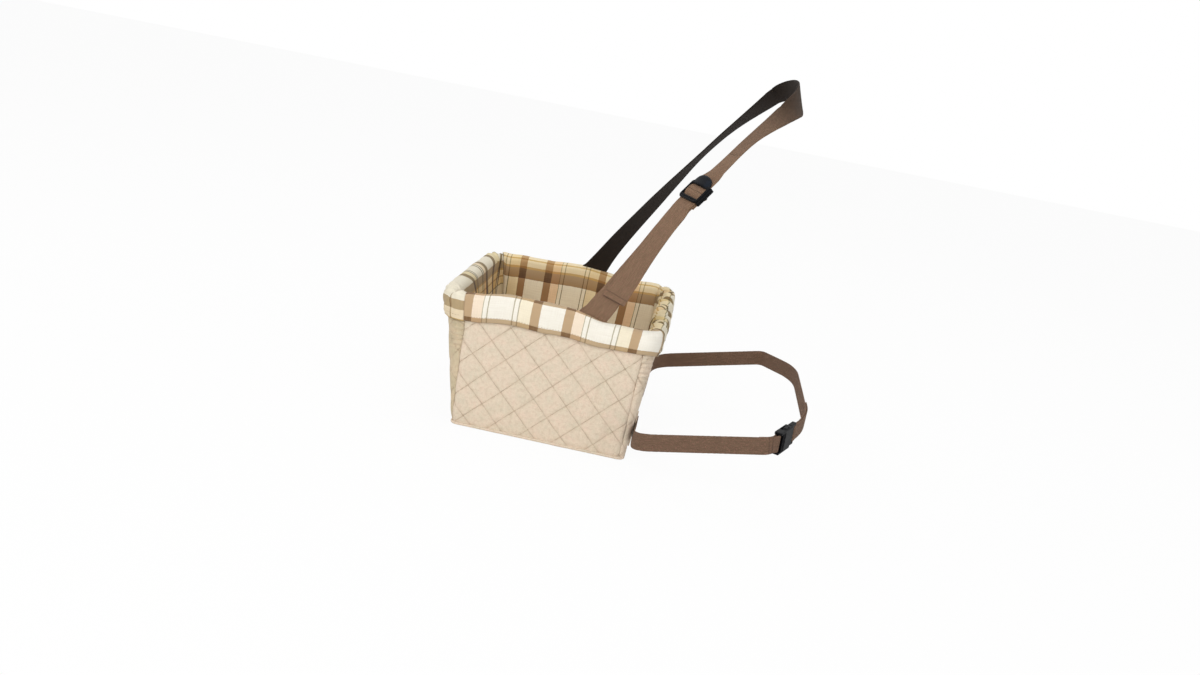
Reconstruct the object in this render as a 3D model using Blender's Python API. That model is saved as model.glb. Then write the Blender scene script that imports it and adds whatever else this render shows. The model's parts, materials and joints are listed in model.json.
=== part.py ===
"""A booster car seat for a small dog: a quilted open box on a rod frame, with a plaid liner folded
over the rim, a strap that goes round the headrest's posts and a belt that goes round the backrest.

Metres, +Z up, +X towards the side with the strap adjuster, +Y towards the backrest. The origin is
the centre of the underside of the base.
"""

import math

import bmesh
import bpy
from mathutils import Matrix, Vector

# The box, over its outer cover
BASE_WIDTH = 0.349
BASE_DEPTH = 0.268
BOX_HEIGHT = 0.205
SIDE_FLARE = 0.004
FRONT_FLARE = 0.042
REAR_FLARE = 0.019
BASE_CORNER_RADIUS = 0.010
RIM_CORNER_RADIUS = 0.030
MIN_CORNER_RADIUS = 0.004

# The gap kept between pieces that touch, and how far a cutter runs past what it cuts
TOUCH_GAP = 0.0003
CUT_OVERRUN = 0.002

# The layers of a wall, from the outside in
COVER_THICKNESS = 0.004
FOAM_THICKNESS = 0.010
LINER_THICKNESS = 0.004
FOAM_INSET = COVER_THICKNESS + TOUCH_GAP
LINER_INSET = FOAM_INSET + FOAM_THICKNESS + TOUCH_GAP
INSIDE_INSET = LINER_INSET + LINER_THICKNESS
CUFF_INSET = -TOUCH_GAP
CUFF_OUTER_INSET = CUFF_INSET - LINER_THICKNESS

# The cover's quilting
QUILT_PITCH = 0.035
QUILT_DEPTH = 0.0022
QUILT_NODES_PER_DIAGONAL = 4
COVER_TOP_BELOW_RIM = 0.015

# The liner's cuff
CUFF_HEIGHT = 0.042
CREST_RISE = 0.010
CREST_STEPS = 8

# The base
BASE_PANEL_THICKNESS = 0.003
BASE_BOARD_THICKNESS = 0.003
LINER_FLOOR_THICKNESS = 0.003

# The rod frame
RIM_ROD_RADIUS = 0.003
RIM_ROD_BELOW_RIM = 0.023
BASE_ROD_RADIUS = 0.003
POST_ROD_RADIUS = 0.0025
ROD_INSET = FOAM_INSET + FOAM_THICKNESS / 2

# The floor cushion
CUSHION_CLEARANCE = 0.003
CUSHION_EDGE_THICKNESS = 0.020
CUSHION_CROWN = 0.012
CUSHION_SIDE_WAIST = 0.005
CUSHION_CORNER_RADIUS = 0.022
CUSHION_TUFT_DEPTH = 0.005
CUSHION_TUFT_SPREAD = 0.0127
CUSHION_TURNS = 48
CUSHION_RINGS = 9
CUSHION_TOP_SHARE = 0.95
# The cushion's edge, from the underside up: share of the plan and share of the edge's thickness
CUSHION_EDGE_SHARES = ((0.955, 0), (0.985, 0.12), (1, 0.35), (0.995, 0.65), (0.975, 0.88))

# The headrest strap
STRAP_WIDTH = 0.0381
STRAP_THICKNESS = 0.0018
NEAR_STRAP_SETBACK = 0.0488
FAR_STRAP_SETBACK = 0.0090
STRAP_END_ABOVE_ROD = 0.0035
NEAR_STRAP_BOW = 0.016
FAR_STRAP_BOW = 0.014
NEAR_STRAP_DRIFT = 0.020
FAR_STRAP_DRIFT = 0.004
DRIFT_CLIMB_SHARE = 0.11
STRAP_STEPS = 36
STRAP_SLOPE_STEPS = 144
LOOP_HALF_WIDTH = 0.088
NEAR_LOOP_SETBACK = 0.262
FAR_LOOP_SETBACK = 0.248
NEAR_LOOP_HEIGHT = 0.539
FAR_LOOP_HEIGHT = 0.560
LOOP_REACH_BACK = 0.026
LOOP_RISE = 0.022
LOOP_STEPS = 16
LOOP_LEAN_SHARE = 0.33
SLOT_CLEARANCE = 0.0009
# The twist of each strap in degrees, at shares of the way from the rim to the loop
NEAR_TWIST_SHARES = (
    (0, 0), (0.05, -10), (0.1, -26), (0.2, -36), (0.3, -46), (0.4, -50), (0.5, -54), (0.5875, -60),
    (0.7, -70), (0.85, -72), (0.93, -63), (1, -47),
)
FAR_TWIST_SHARES = (
    (0, 0), (0.05, -24), (0.1, -36), (0.2, -45), (0.3, -52), (0.4, -58), (0.5, -66), (0.65, -76),
    (0.8, -73), (0.9, -63), (1, -47),
)
# The bow of each strap, as a share of the most it has, at shares of the way
NEAR_BOW_SHARES = (
    (0, 0), (0.1, 0.15), (0.2, 0.38), (0.3, 0.62), (0.4, 0.86), (0.5, 1), (0.6, 0.95), (0.7, 0.82),
    (0.85, 0.62), (1, 0),
)
# The drift of each strap away from the middle, as a share of the most it has, at shares of the way
DRIFT_SHARES = (
    (0, 0), (0.1, 0.22), (0.2, 0.48), (0.3, 0.76), (0.4, 0.95), (0.5, 0.95), (0.5875, 0.78), (0.7, 0.45),
    (0.85, 0.16), (1, 0),
)
FAR_BOW_SHARES = ((0, 0), (0.1, 0.38), (0.2, 0.62), (0.35, 0.8), (0.5, 0.95), (0.65, 1), (0.8, 0.78), (1, 0))

# The folds of webbing round a bar
FOLD_TURN_STEPS = 8
FOLD_RUN_STEPS = 5
FOLD_RETURN_SHARE = 0.9
FOLD_EASE_SHARE = 3

# The strap adjuster, in its own frame: along the strap, across it and out from it
ADJUSTER_PLACE_SHARE = 0.582
ADJUSTER_WINDOW = 0.0206
ADJUSTER_LOWER_BAR = 0.007
ADJUSTER_UPPER_BAR = 0.006
ADJUSTER_BAR_THICKNESS = 0.0035
ADJUSTER_SIDE_BAR = 0.0045
ADJUSTER_SIDE_CLEARANCE = 0.0009
ADJUSTER_TAB_LENGTH = 0.0125
ADJUSTER_TAB_RISE = 0.0035
ADJUSTER_CENTRE_BAR_RADIUS = 0.002
ADJUSTER_REACH = 0.030
ADJUSTER_BEVEL = 0.0012
BAR_SIDES = 12
TAB_STEPS = 10
TAB_WIDTH_SHARE = 0.96
TAB_ROOT_SHARE = 0.5
TAB_THINNING_SHARE = 0.1
BIGHT_RETURN = 0.024
TAIL_END_SHARE = 0.088
TAIL_SIDEWAYS = 0.008

# The backrest belt
BELT_WIDTH = 0.0254
BELT_THICKNESS = 0.0016
BELT_END_FROM_CENTRE = 0.095
BELT_WALL_HEIGHT = 0.036
BELT_FRONT_HALF_WIDTH = 0.236
BELT_FRONT_HEIGHT = 0.053
BELT_HALF_WIDTH = 0.252
BELT_SIDE_SETBACK = 0.336
BELT_SIDE_HEIGHT = 0.097
BELT_BACK_TURN_IN = 0.112
BELT_BACK_DEEPER = 0.053
BELT_BACK_HEIGHT = 0.108
BELT_FRONT_BEND = 0.035
BELT_SIDE_BEND = 0.012
BELT_BACK_BEND = 0.050
BELT_BEND_STEPS = 6
BELT_TAIL_LENGTH = 0.085
PATCH_LENGTH = 0.050
PATCH_HEIGHT = 0.042
PATCH_THICKNESS = 0.002

# The side-release buckle, in its own frame: along the belt, across it and out from it
BUCKLE_FROM_BEND = 0.002
SOCKET_LENGTH = 0.040
SOCKET_WIDTH = 0.034
SOCKET_THICKNESS = 0.0120
SOCKET_WALL = 0.0018
SOCKET_LOOP_LENGTH = 0.010
BELT_FOLD_LENGTH = 0.034
SOCKET_WINDOW_LENGTH = 0.016
SOCKET_WINDOW_FROM_MOUTH = 0.009
TONGUE_PLATE_LENGTH = 0.018
TONGUE_THICKNESS = 0.0070
TONGUE_GUIDE_WIDTH = 0.0050
TONGUE_GUIDE_LENGTH = 0.024
BUCKLE_SLOT = 0.0046
BUCKLE_BAR = 0.003
ARM_LENGTH = 0.0245
ARM_WIDTH = 0.0034
ARM_BARB = 0.0024
ARM_THICKNESS = 0.0052
ARM_CLEARANCE = 0.0006
BUCKLE_BEVEL = 0.0012

# The tether tab and its D ring, on the rear wall inside
TETHER_HEIGHT = 0.128
TETHER_TAB_WIDTH = 0.020
TETHER_TAB_THICKNESS = 0.0014
TETHER_TAB_LENGTH = 0.028
RING_WIRE_RADIUS = 0.0018
RING_HALF_WIDTH = 0.0125
RING_DROP = 0.020
RING_STEPS = 14

# Colours of the materials, linear, with roughness and metallic
SUEDE = ("suede", (0.71, 0.58, 0.44), 0.9, 0)
PLAID = ("plaid", (0.80, 0.68, 0.50), 0.85, 0)
WEBBING = ("webbing", (0.17, 0.10, 0.075), 0.8, 0)
BLACK_PLASTIC = ("black_plastic", (0.012, 0.012, 0.014), 0.35, 0)
FOAM = ("foam", (0.78, 0.77, 0.72), 0.9, 0)
BOARD = ("board", (0.30, 0.27, 0.24), 0.6, 0)
STEEL = ("steel", (0.55, 0.55, 0.57), 0.35, 1)

NEAR, REAR, FAR, FRONT = range(4)
SIDE_NAMES = ("near", "rear", "far", "front")
QUARTER = math.pi / 2
UP = Vector((0, 0, 1))
ACROSS = Vector((1, 0, 0))
CORNER_STEPS = 4


def clear_scene():
    """Remove whatever the scene holds."""
    for thing in list(bpy.data.objects):
        bpy.data.objects.remove(thing, do_unlink=True)


def material(finish):
    """The material of one finish, made once."""
    name, colour, roughness, metallic = finish
    made = bpy.data.materials.get(name)
    if made:
        return made
    made = bpy.data.materials.new(name)
    made.use_nodes = True
    shader = made.node_tree.nodes["Principled BSDF"]
    shader.inputs["Base Color"].default_value = (*colour, 1)
    shader.inputs["Roughness"].default_value = roughness
    shader.inputs["Metallic"].default_value = metallic
    return made


def add_mesh(name, points, faces, finish, smooth_degrees=35):
    """One named object from points and faces."""
    mesh = bpy.data.meshes.new(name)
    mesh.from_pydata([tuple(point) for point in points], [], faces)
    mesh.validate()
    work = bmesh.new()
    work.from_mesh(mesh)
    bmesh.ops.recalc_face_normals(work, faces=work.faces)
    work.to_mesh(mesh)
    work.free()
    mesh.shade_smooth()
    mesh.set_sharp_from_angle(angle=math.radians(smooth_degrees))
    made = bpy.data.objects.new(name, mesh)
    made.data.materials.append(material(finish))
    bpy.context.scene.collection.objects.link(made)
    return made


def cut(target, cutter, operation="DIFFERENCE"):
    """Add an exact Boolean by a hidden cutter."""
    cutter.hide_render = True
    cutter.display_type = "WIRE"
    modifier = target.modifiers.new(cutter.name, "BOOLEAN")
    modifier.operation = operation
    modifier.object = cutter
    modifier.solver = "EXACT"


def skinned(rings, closed_ends=True):
    """Points and faces of a skin over equal rings, capped at both ends or joined into a loop."""
    count = len(rings[0])
    points = [point for ring in rings for point in ring]
    faces = []
    spans = len(rings) - 1 if closed_ends else len(rings)
    for row in range(spans):
        after = (row + 1) % len(rings)
        for column in range(count):
            beside = (column + 1) % count
            faces.append(
                (row * count + column, row * count + beside, after * count + beside, after * count + column)
            )
    if closed_ends:
        faces.append(tuple(range(count)))
        faces.append(tuple((len(rings) - 1) * count + column for column in range(count)))
    return points, faces


def half_width(height):
    """Half the cover's width at a height."""
    return BASE_WIDTH / 2 + SIDE_FLARE * height / BOX_HEIGHT


def front_edge(height):
    """The cover's front at a height."""
    return -BASE_DEPTH / 2 - FRONT_FLARE * height / BOX_HEIGHT


def rear_edge(height):
    """The cover's rear at a height."""
    return BASE_DEPTH / 2 + REAR_FLARE * height / BOX_HEIGHT


def corner(index, height, inset):
    """Centre and radius of a rounded corner of the plan, from the front near one counterclockwise."""
    outer = BASE_CORNER_RADIUS + (RIM_CORNER_RADIUS - BASE_CORNER_RADIUS) * height / BOX_HEIGHT
    radius = max(outer - inset, MIN_CORNER_RADIUS)
    across = half_width(height) - inset - radius
    ahead = front_edge(height) + inset + radius
    behind = rear_edge(height) - inset - radius
    places = ((across, ahead), (across, behind), (-across, behind), (-across, ahead))
    return Vector((*places[index % 4], height)), radius


def on_corner(index, angle, height, inset):
    """A point on a rounded corner."""
    centre, radius = corner(index, height, inset)
    return centre + Vector((math.cos(angle), math.sin(angle), 0)) * radius


def straight_points(side, height, inset, runs):
    """Points along the straight run of one side."""
    angle = side * QUARTER
    start = on_corner(side, angle, height, inset)
    end = on_corner(side + 1, angle, height, inset)
    return [start.lerp(end, step / runs) for step in range(runs + 1)]


def side_points(side, height, inset, runs, arcs=CORNER_STEPS):
    """Points along one side, from the middle of its first corner to the middle of its last."""
    angle = side * QUARTER
    half = QUARTER / 2
    first = [on_corner(side, angle - half * (arcs - step) / arcs, height, inset) for step in range(arcs)]
    last = [on_corner(side + 1, angle + half * step / arcs, height, inset) for step in range(1, arcs + 1)]
    points = first + straight_points(side, height, inset, runs) + last
    for index, turn in ((0, angle - half), (-1, angle + half)):
        along = Vector((-math.sin(turn), math.cos(turn), 0))
        points[index] = points[index] + along * TOUCH_GAP / 2 * (1 if index == 0 else -1)
    return points


def plan_loop(height, inset, runs=1, arcs=CORNER_STEPS):
    """Points round the whole plan at one height."""
    points = []
    for side in range(4):
        angle = side * QUARTER
        turns = [angle - QUARTER * (arcs - step) / arcs for step in range(arcs)]
        points += [on_corner(side, turn, height, inset) for turn in turns]
        points += straight_points(side, height, inset, runs)[:-1]
    return points


def panel(name, low, high, inset, finish):
    """A flat panel that fills the plan between two heights."""
    return add_mesh(name, *skinned([plan_loop(low, inset), plan_loop(high, inset)]), finish)


def quilt_runs(side):
    """How many quilting nodes the straight run of a side takes."""
    run = straight_points(side, BOX_HEIGHT / 2, 0, 1)
    return max(1, round((run[1] - run[0]).length / quilt_step()))


def quilt_step():
    """The distance between quilting nodes."""
    return QUILT_PITCH * math.sqrt(2) / QUILT_NODES_PER_DIAGONAL


def quilt_sink(column, row):
    """How deep the stitching pulls the cover in at a node."""
    nodes = QUILT_NODES_PER_DIAGONAL
    one = abs(math.sin(math.pi * (column + row) / nodes))
    other = abs(math.sin(math.pi * (column - row) / nodes))
    return QUILT_DEPTH * (1 - one * other)


def cover_panel(side):
    """One side of the quilted cover: puffed outside, plain inside."""
    top = BOX_HEIGHT - COVER_TOP_BELOW_RIM
    rows = max(1, round(top / quilt_step()))
    runs = quilt_runs(side)
    columns = runs + 1 + 2 * CORNER_STEPS
    points = []
    for row in range(rows + 1):
        height = top * row / rows
        plain = side_points(side, height, 0, runs)
        sunk = side_points(side, height, QUILT_DEPTH, runs)
        for column in range(columns):
            node = column - CORNER_STEPS
            stitched = 0 <= node <= runs and 0 < row < rows
            share = quilt_sink(node, row) / QUILT_DEPTH if stitched else 0
            points.append(plain[column].lerp(sunk[column], share))
    inner = len(points)
    points += side_points(side, 0, COVER_THICKNESS, runs) + side_points(side, top, COVER_THICKNESS, runs)
    faces = quilt_faces(rows, columns)
    last_row = rows * columns
    for column in range(columns - 1):
        low, high = inner + column, inner + columns + column
        faces.append((low, high, high + 1, low + 1))
        faces.append((column, low, low + 1, column + 1))
        faces.append((last_row + column, last_row + column + 1, high + 1, high))
    for column in (0, columns - 1):
        edge = [row * columns + column for row in range(rows + 1)]
        faces.append(tuple(edge + [inner + columns + column, inner + column]))
    return add_mesh(f"cover_{SIDE_NAMES[side]}_panel", points, faces, SUEDE, 60)


def quilt_faces(rows, columns):
    """The triangles of a quilted face, split along the lines of stitching."""
    faces = []
    for row in range(rows):
        for column in range(columns - 1):
            low, high = row * columns + column, (row + 1) * columns + column
            node = column - CORNER_STEPS
            if (node + row + 1) % QUILT_NODES_PER_DIAGONAL == 0:
                faces += [(low, low + 1, high), (low + 1, high + 1, high)]
            else:
                faces += [(low, low + 1, high + 1), (low, high + 1, high)]
    return faces


def liner_section():
    """The liner's section as inset and height: up the inside, over the rim, down as the cuff."""
    floor = BASE_PANEL_THICKNESS + BASE_BOARD_THICKNESS + 2 * TOUCH_GAP
    spring = BOX_HEIGHT - CREST_RISE
    hem = BOX_HEIGHT - CUFF_HEIGHT
    outside = crest_arc(INSIDE_INSET, CUFF_OUTER_INSET, spring, CREST_RISE)
    inside = crest_arc(LINER_INSET, CUFF_INSET, spring, CREST_RISE - LINER_THICKNESS)
    return (
        [(INSIDE_INSET, floor)] + outside + [(CUFF_OUTER_INSET, hem), (CUFF_INSET, hem)]
        + inside[::-1] + [(LINER_INSET, floor)]
    )


def crest_arc(start, end, spring, rise):
    """The rounded crest from one inset to another."""
    middle, half = (start + end) / 2, (start - end) / 2
    angles = [math.pi * step / CREST_STEPS for step in range(CREST_STEPS + 1)]
    return [(middle + half * math.cos(angle), spring + rise * math.sin(angle)) for angle in angles]


def liner_panel(side):
    """One wall of the plaid liner with its part of the cuff."""
    runs = max(1, round(quilt_runs(side) / 2))
    columns = [side_points(side, height, inset, runs) for inset, height in liner_section()]
    rings = [[column[index] for column in columns] for index in range(len(columns[0]))]
    return add_mesh(f"liner_{SIDE_NAMES[side]}_wall", *skinned(rings), PLAID, 60)


def foam_board(side):
    """The stiffening foam board inside one wall, between the corner posts."""
    low = base_rod_height() + BASE_ROD_RADIUS + TOUCH_GAP
    high = rim_rod_height() - rod_loop_radius() - 2 * TOUCH_GAP
    rings = []
    for height in (low, high):
        outer = straight_points(side, height, FOAM_INSET, 1)
        inner = straight_points(side, height, FOAM_INSET + FOAM_THICKNESS, 1)
        if side in (NEAR, FAR):
            ends = (inner[0].y, inner[1].y)
            for pair in (outer, inner):
                pair[0].y, pair[1].y = ends
        else:
            ends = (inner[0].x, inner[1].x)
            for pair in (outer, inner):
                pair[0].x, pair[1].x = ends
        rings.append([outer[0], outer[1], inner[1], inner[0]])
    return add_mesh(f"foam_{SIDE_NAMES[side]}_board", *skinned(rings), FOAM)


def base_rod_height():
    """Height of the base rod's centre."""
    return BASE_PANEL_THICKNESS + BASE_BOARD_THICKNESS + 2 * TOUCH_GAP + BASE_ROD_RADIUS


def rim_rod_height():
    """Height of the rim rod's centre."""
    return BOX_HEIGHT - RIM_ROD_BELOW_RIM


def rod_loop_radius():
    """Outer radius of the webbing that goes round the rim rod."""
    return RIM_ROD_RADIUS + TOUCH_GAP + STRAP_THICKNESS


def tube(name, points, radius, finish, cyclic=False, resolution=2):
    """A round bar along points."""
    curve = bpy.data.curves.new(name, "CURVE")
    curve.dimensions = "3D"
    curve.bevel_depth = radius
    curve.bevel_resolution = resolution
    curve.use_fill_caps = True
    spline = curve.splines.new("POLY")
    spline.points.add(len(points) - 1)
    for place, point in zip(spline.points, points):
        place.co = (*point, 1)
    spline.use_cyclic_u = cyclic
    spline.use_smooth = True
    curve.materials.append(material(finish))
    made = bpy.data.objects.new(name, curve)
    bpy.context.scene.collection.objects.link(made)
    return made


def rod_frame():
    """The rim rod, the base rod and the four corner posts between them."""
    tube("rim_rod", plan_loop(rim_rod_height(), ROD_INSET), RIM_ROD_RADIUS, STEEL, cyclic=True)
    tube("base_rod", plan_loop(base_rod_height(), ROD_INSET), BASE_ROD_RADIUS, STEEL, cyclic=True)
    low = base_rod_height() + BASE_ROD_RADIUS + TOUCH_GAP
    high = rim_rod_height() - RIM_ROD_RADIUS - TOUCH_GAP
    names = ("front_near", "rear_near", "rear_far", "front_far")
    for index, name in enumerate(names):
        angle = (index - 1 / 2) * QUARTER
        ends = [on_corner(index, angle, height, ROD_INSET) for height in (low, high)]
        tube(f"corner_post_{name}", ends, POST_ROD_RADIUS, STEEL)


def base_stack():
    """The cover's base panel, the stiff board and the liner's floor."""
    panel("cover_base_panel", 0, BASE_PANEL_THICKNESS, FOAM_INSET, SUEDE)
    board = BASE_PANEL_THICKNESS + TOUCH_GAP
    panel("base_board", board, board + BASE_BOARD_THICKNESS, FOAM_INSET, BOARD)
    floor = board + BASE_BOARD_THICKNESS + TOUCH_GAP
    inset = INSIDE_INSET + TOUCH_GAP
    panel("liner_floor", floor, floor + LINER_FLOOR_THICKNESS, inset, PLAID)


def cushion_floor():
    """Height of the floor cushion's underside."""
    return BASE_PANEL_THICKNESS + BASE_BOARD_THICKNESS + LINER_FLOOR_THICKNESS + 3 * TOUCH_GAP


def cushion_outline(turn, shrink):
    """A point of the cushion's plan, with its sides drawn in between the corners."""
    half_x = half_width(0) - INSIDE_INSET - CUSHION_CLEARANCE
    half_y = BASE_DEPTH / 2 - INSIDE_INSET - CUSHION_CLEARANCE
    power = CUSHION_CORNER_RADIUS / half_y * 2
    cosine, sine = math.cos(turn), math.sin(turn)
    x = math.copysign(abs(cosine) ** power, cosine)
    y = math.copysign(abs(sine) ** power, sine)
    reach_x = half_x - CUSHION_SIDE_WAIST * (1 - y * y)
    reach_y = half_y - CUSHION_SIDE_WAIST * (1 - x * x)
    return reach_x * x * shrink, reach_y * y * shrink


def floor_cushion():
    """The floor cushion: a crowned pad with drawn-in sides and five sewn tufts."""
    turns = CUSHION_TURNS
    low = cushion_floor()
    half_x = half_width(0) - INSIDE_INSET
    half_y = BASE_DEPTH / 2 - INSIDE_INSET
    tufts = [(0, 0)] + [(half_x * sx / 2, half_y * sy / 2) for sx in (-1, 1) for sy in (-1, 1)]

    def top(x, y):
        """Height of the cushion's upper face."""
        crown = CUSHION_CROWN * (1 - (x / half_x) ** 2) * (1 - (y / half_y) ** 2)
        sink = 0
        for tuft_x, tuft_y in tufts:
            apart = math.hypot(x - tuft_x, y - tuft_y)
            sink += CUSHION_TUFT_DEPTH * math.exp(-((apart / CUSHION_TUFT_SPREAD) ** 2))
        return low + CUSHION_EDGE_THICKNESS + crown - sink

    def ring_at(shrink, height):
        """One ring of the cushion's skin."""
        places = [cushion_outline(2 * math.pi * step / turns, shrink) for step in range(turns)]
        return [Vector((x, y, height if height is not None else top(x, y))) for x, y in places]

    skin = [ring_at(share, low + CUSHION_EDGE_THICKNESS * rise) for share, rise in CUSHION_EDGE_SHARES]
    skin += [ring_at(CUSHION_TOP_SHARE * (1 - step / CUSHION_RINGS), None) for step in range(CUSHION_RINGS)]
    points = [point for ring in skin for point in ring]
    points += [Vector((0, 0, low)), Vector((0, 0, top(0, 0)))]
    base_pole, top_pole = len(points) - 2, len(points) - 1
    faces = []
    for row in range(len(skin) - 1):
        for column in range(turns):
            beside = (column + 1) % turns
            low, high = row * turns, (row + 1) * turns
            faces.append((low + column, low + beside, high + beside, high + column))
    last = (len(skin) - 1) * turns
    for column in range(turns):
        beside = (column + 1) % turns
        faces.append((base_pole, beside, column))
        faces.append((last + column, last + beside, top_pole))
    return add_mesh("floor_cushion", points, faces, PLAID, 60)


def ribbon(name, stations, width, thickness, finish):
    """Flat webbing through stations, each a centre, a direction across and a direction out."""
    rings = []
    for centre, across, out in stations:
        side, up = across * width / 2, out * thickness / 2
        rings.append([centre - side - up, centre + side - up, centre + side + up, centre - side + up])
    return add_mesh(name, *skinned(rings), finish, 50)


def folded_ribbon(name, line, place, width, thickness, finish):
    """Webbing whose side view is a line of flat points; place puts a point of it into space."""
    rings = []
    for index, (along, out) in enumerate(line):
        before = line[max(index - 1, 0)]
        after = line[min(index + 1, len(line) - 1)]
        run = Vector((after[0] - before[0], after[1] - before[1])).normalized()
        rise, back = run.x * thickness / 2, run.y * thickness / 2
        corners = ((-1, -1), (-1, 1), (1, 1), (1, -1))
        rings.append([place(along - back * up, out + rise * up, width / 2 * side) for side, up in corners])
    return add_mesh(name, *skinned(rings), finish, 50)


def fold_line(bar_at, bar_out, bar_radius, thickness, way, load_reach, back_reach, back_side):
    """A fold round a bar: the loaded run at nought, the turn, and the run that is sewn back on it."""
    radius = bar_radius + TOUCH_GAP + thickness / 2
    lift = back_side * (thickness + 2 * TOUCH_GAP)
    ease = FOLD_EASE_SHARE * radius
    steps = FOLD_RUN_STEPS
    reaches = [load_reach + (ease - load_reach) * step / steps for step in range(steps + 1)]
    loaded = [(bar_at - way * reach, 0) for reach in reaches]
    turned = []
    for step in range(FOLD_TURN_STEPS + 1):
        turn = math.pi * (step / FOLD_TURN_STEPS - 1 / 2)
        turned.append(
            (bar_at + way * radius * math.cos(turn), bar_out + back_side * radius * math.sin(turn))
        )
    back = [(bar_at - way * (ease + (back_reach - ease) * step / steps), lift) for step in range(steps + 1)]
    return loaded + turned + back


def through_table(table, share):
    """The value at a share, on a smooth curve through a table of shares and values."""
    last = len(table) - 2
    index = next((i for i in range(last) if share <= table[i + 1][0]), last)

    def slope(place):
        """The curve's slope at one row of the table."""
        (low, first), (high, second) = table[max(place - 1, 0)], table[min(place + 1, last + 1)]
        return (second - first) / (high - low)

    (low, first), (high, second) = table[index], table[index + 1]
    span = high - low
    part = (share - low) / span
    bend = first + (second - first) * part ** 2 * (3 - 2 * part)
    leave = slope(index) * span * part * (1 - part) ** 2
    arrive = slope(index + 1) * span * part ** 2 * (part - 1)
    return bend + leave + arrive


class StrapRoute:
    """The way of one end of the headrest strap, from the rim to the headrest's posts."""

    def __init__(self, side, rim_setback, loop_place, bow, drift, bow_shares, twist_shares):
        self.side = side
        self.drift = Vector((side * drift, 0, drift * DRIFT_CLIMB_SHARE))
        across = half_width(rim_rod_height()) - ROD_INSET
        self.rim = Vector((side * across, rim_setback, BOX_HEIGHT + TOUCH_GAP))
        self.loop = Vector((side * LOOP_HALF_WIDTH, *loop_place))
        self.bow = bow
        self.bow_shares = bow_shares
        self.twist_shares = twist_shares

    def centre(self, share):
        """The strap's centre at a share of the way."""
        line = self.loop - self.rim
        bow = ACROSS.cross(line).normalized() * self.bow * through_table(self.bow_shares, share)
        return self.rim + line * share + bow + self.drift * through_table(DRIFT_SHARES, share)

    def frame(self, share):
        """Centre, direction along, across and out at a share of the way."""
        step = 1 / STRAP_SLOPE_STEPS
        along = (self.centre(share + step) - self.centre(share - step)).normalized()
        flat = along.cross(ACROSS).normalized()
        inward = along.cross(flat) * self.side
        turn = math.radians(through_table(self.twist_shares, share))
        across = flat * math.cos(turn) + inward * math.sin(turn)
        out = across.cross(along).normalized() * self.side
        return self.centre(share), along, across, out

    def station(self, share, lift=0, sideways=0):
        """A webbing station at a share of the way, lifted off and moved across."""
        centre, _, across, out = self.frame(share)
        return centre + out * lift + across * sideways, across, out

    def length(self):
        """The straight distance from the rim to the posts."""
        return (self.loop - self.rim).length

    def foot(self):
        """The strap's stations inside the rim, where it stands in the wall over the rod."""
        _, along, _, _ = self.frame(0)
        run = Vector((0, along.y, along.z)).normalized()
        foot_height = strap_foot_height()
        foot = self.rim - run * ((self.rim.z - foot_height) / run.z)
        level = Vector((0, 1 / run.z, 0))
        outward = ACROSS * self.side
        return [(foot, level, outward), (self.rim, level, outward)]


NEAR_ROUTE = StrapRoute(
    1, NEAR_STRAP_SETBACK, (NEAR_LOOP_SETBACK, NEAR_LOOP_HEIGHT), NEAR_STRAP_BOW, NEAR_STRAP_DRIFT,
    NEAR_BOW_SHARES, NEAR_TWIST_SHARES,
)
FAR_ROUTE = StrapRoute(
    -1, FAR_STRAP_SETBACK, (FAR_LOOP_SETBACK, FAR_LOOP_HEIGHT), FAR_STRAP_BOW, FAR_STRAP_DRIFT,
    FAR_BOW_SHARES, FAR_TWIST_SHARES,
)
LAYER_LIFT = STRAP_THICKNESS + 2 * TOUCH_GAP


def strap_foot_height():
    """Height of the ends of the headrest strap, over the rim rod."""
    return rim_rod_height() + RIM_ROD_RADIUS + STRAP_END_ABOVE_ROD


def route_shares(start, end):
    """Even shares from a start to an end, about as close as a whole strap's steps."""
    steps = max(1, round(abs(end - start) * STRAP_STEPS))
    return [start + (end - start) * step / steps for step in range(steps + 1)]


def at_adjuster(along_by, out_by, across_by=0):
    """A point in the adjuster's own frame."""
    centre, along, across, out = NEAR_ROUTE.frame(ADJUSTER_PLACE_SHARE)
    return centre + along * along_by + out * out_by + across * across_by


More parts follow.
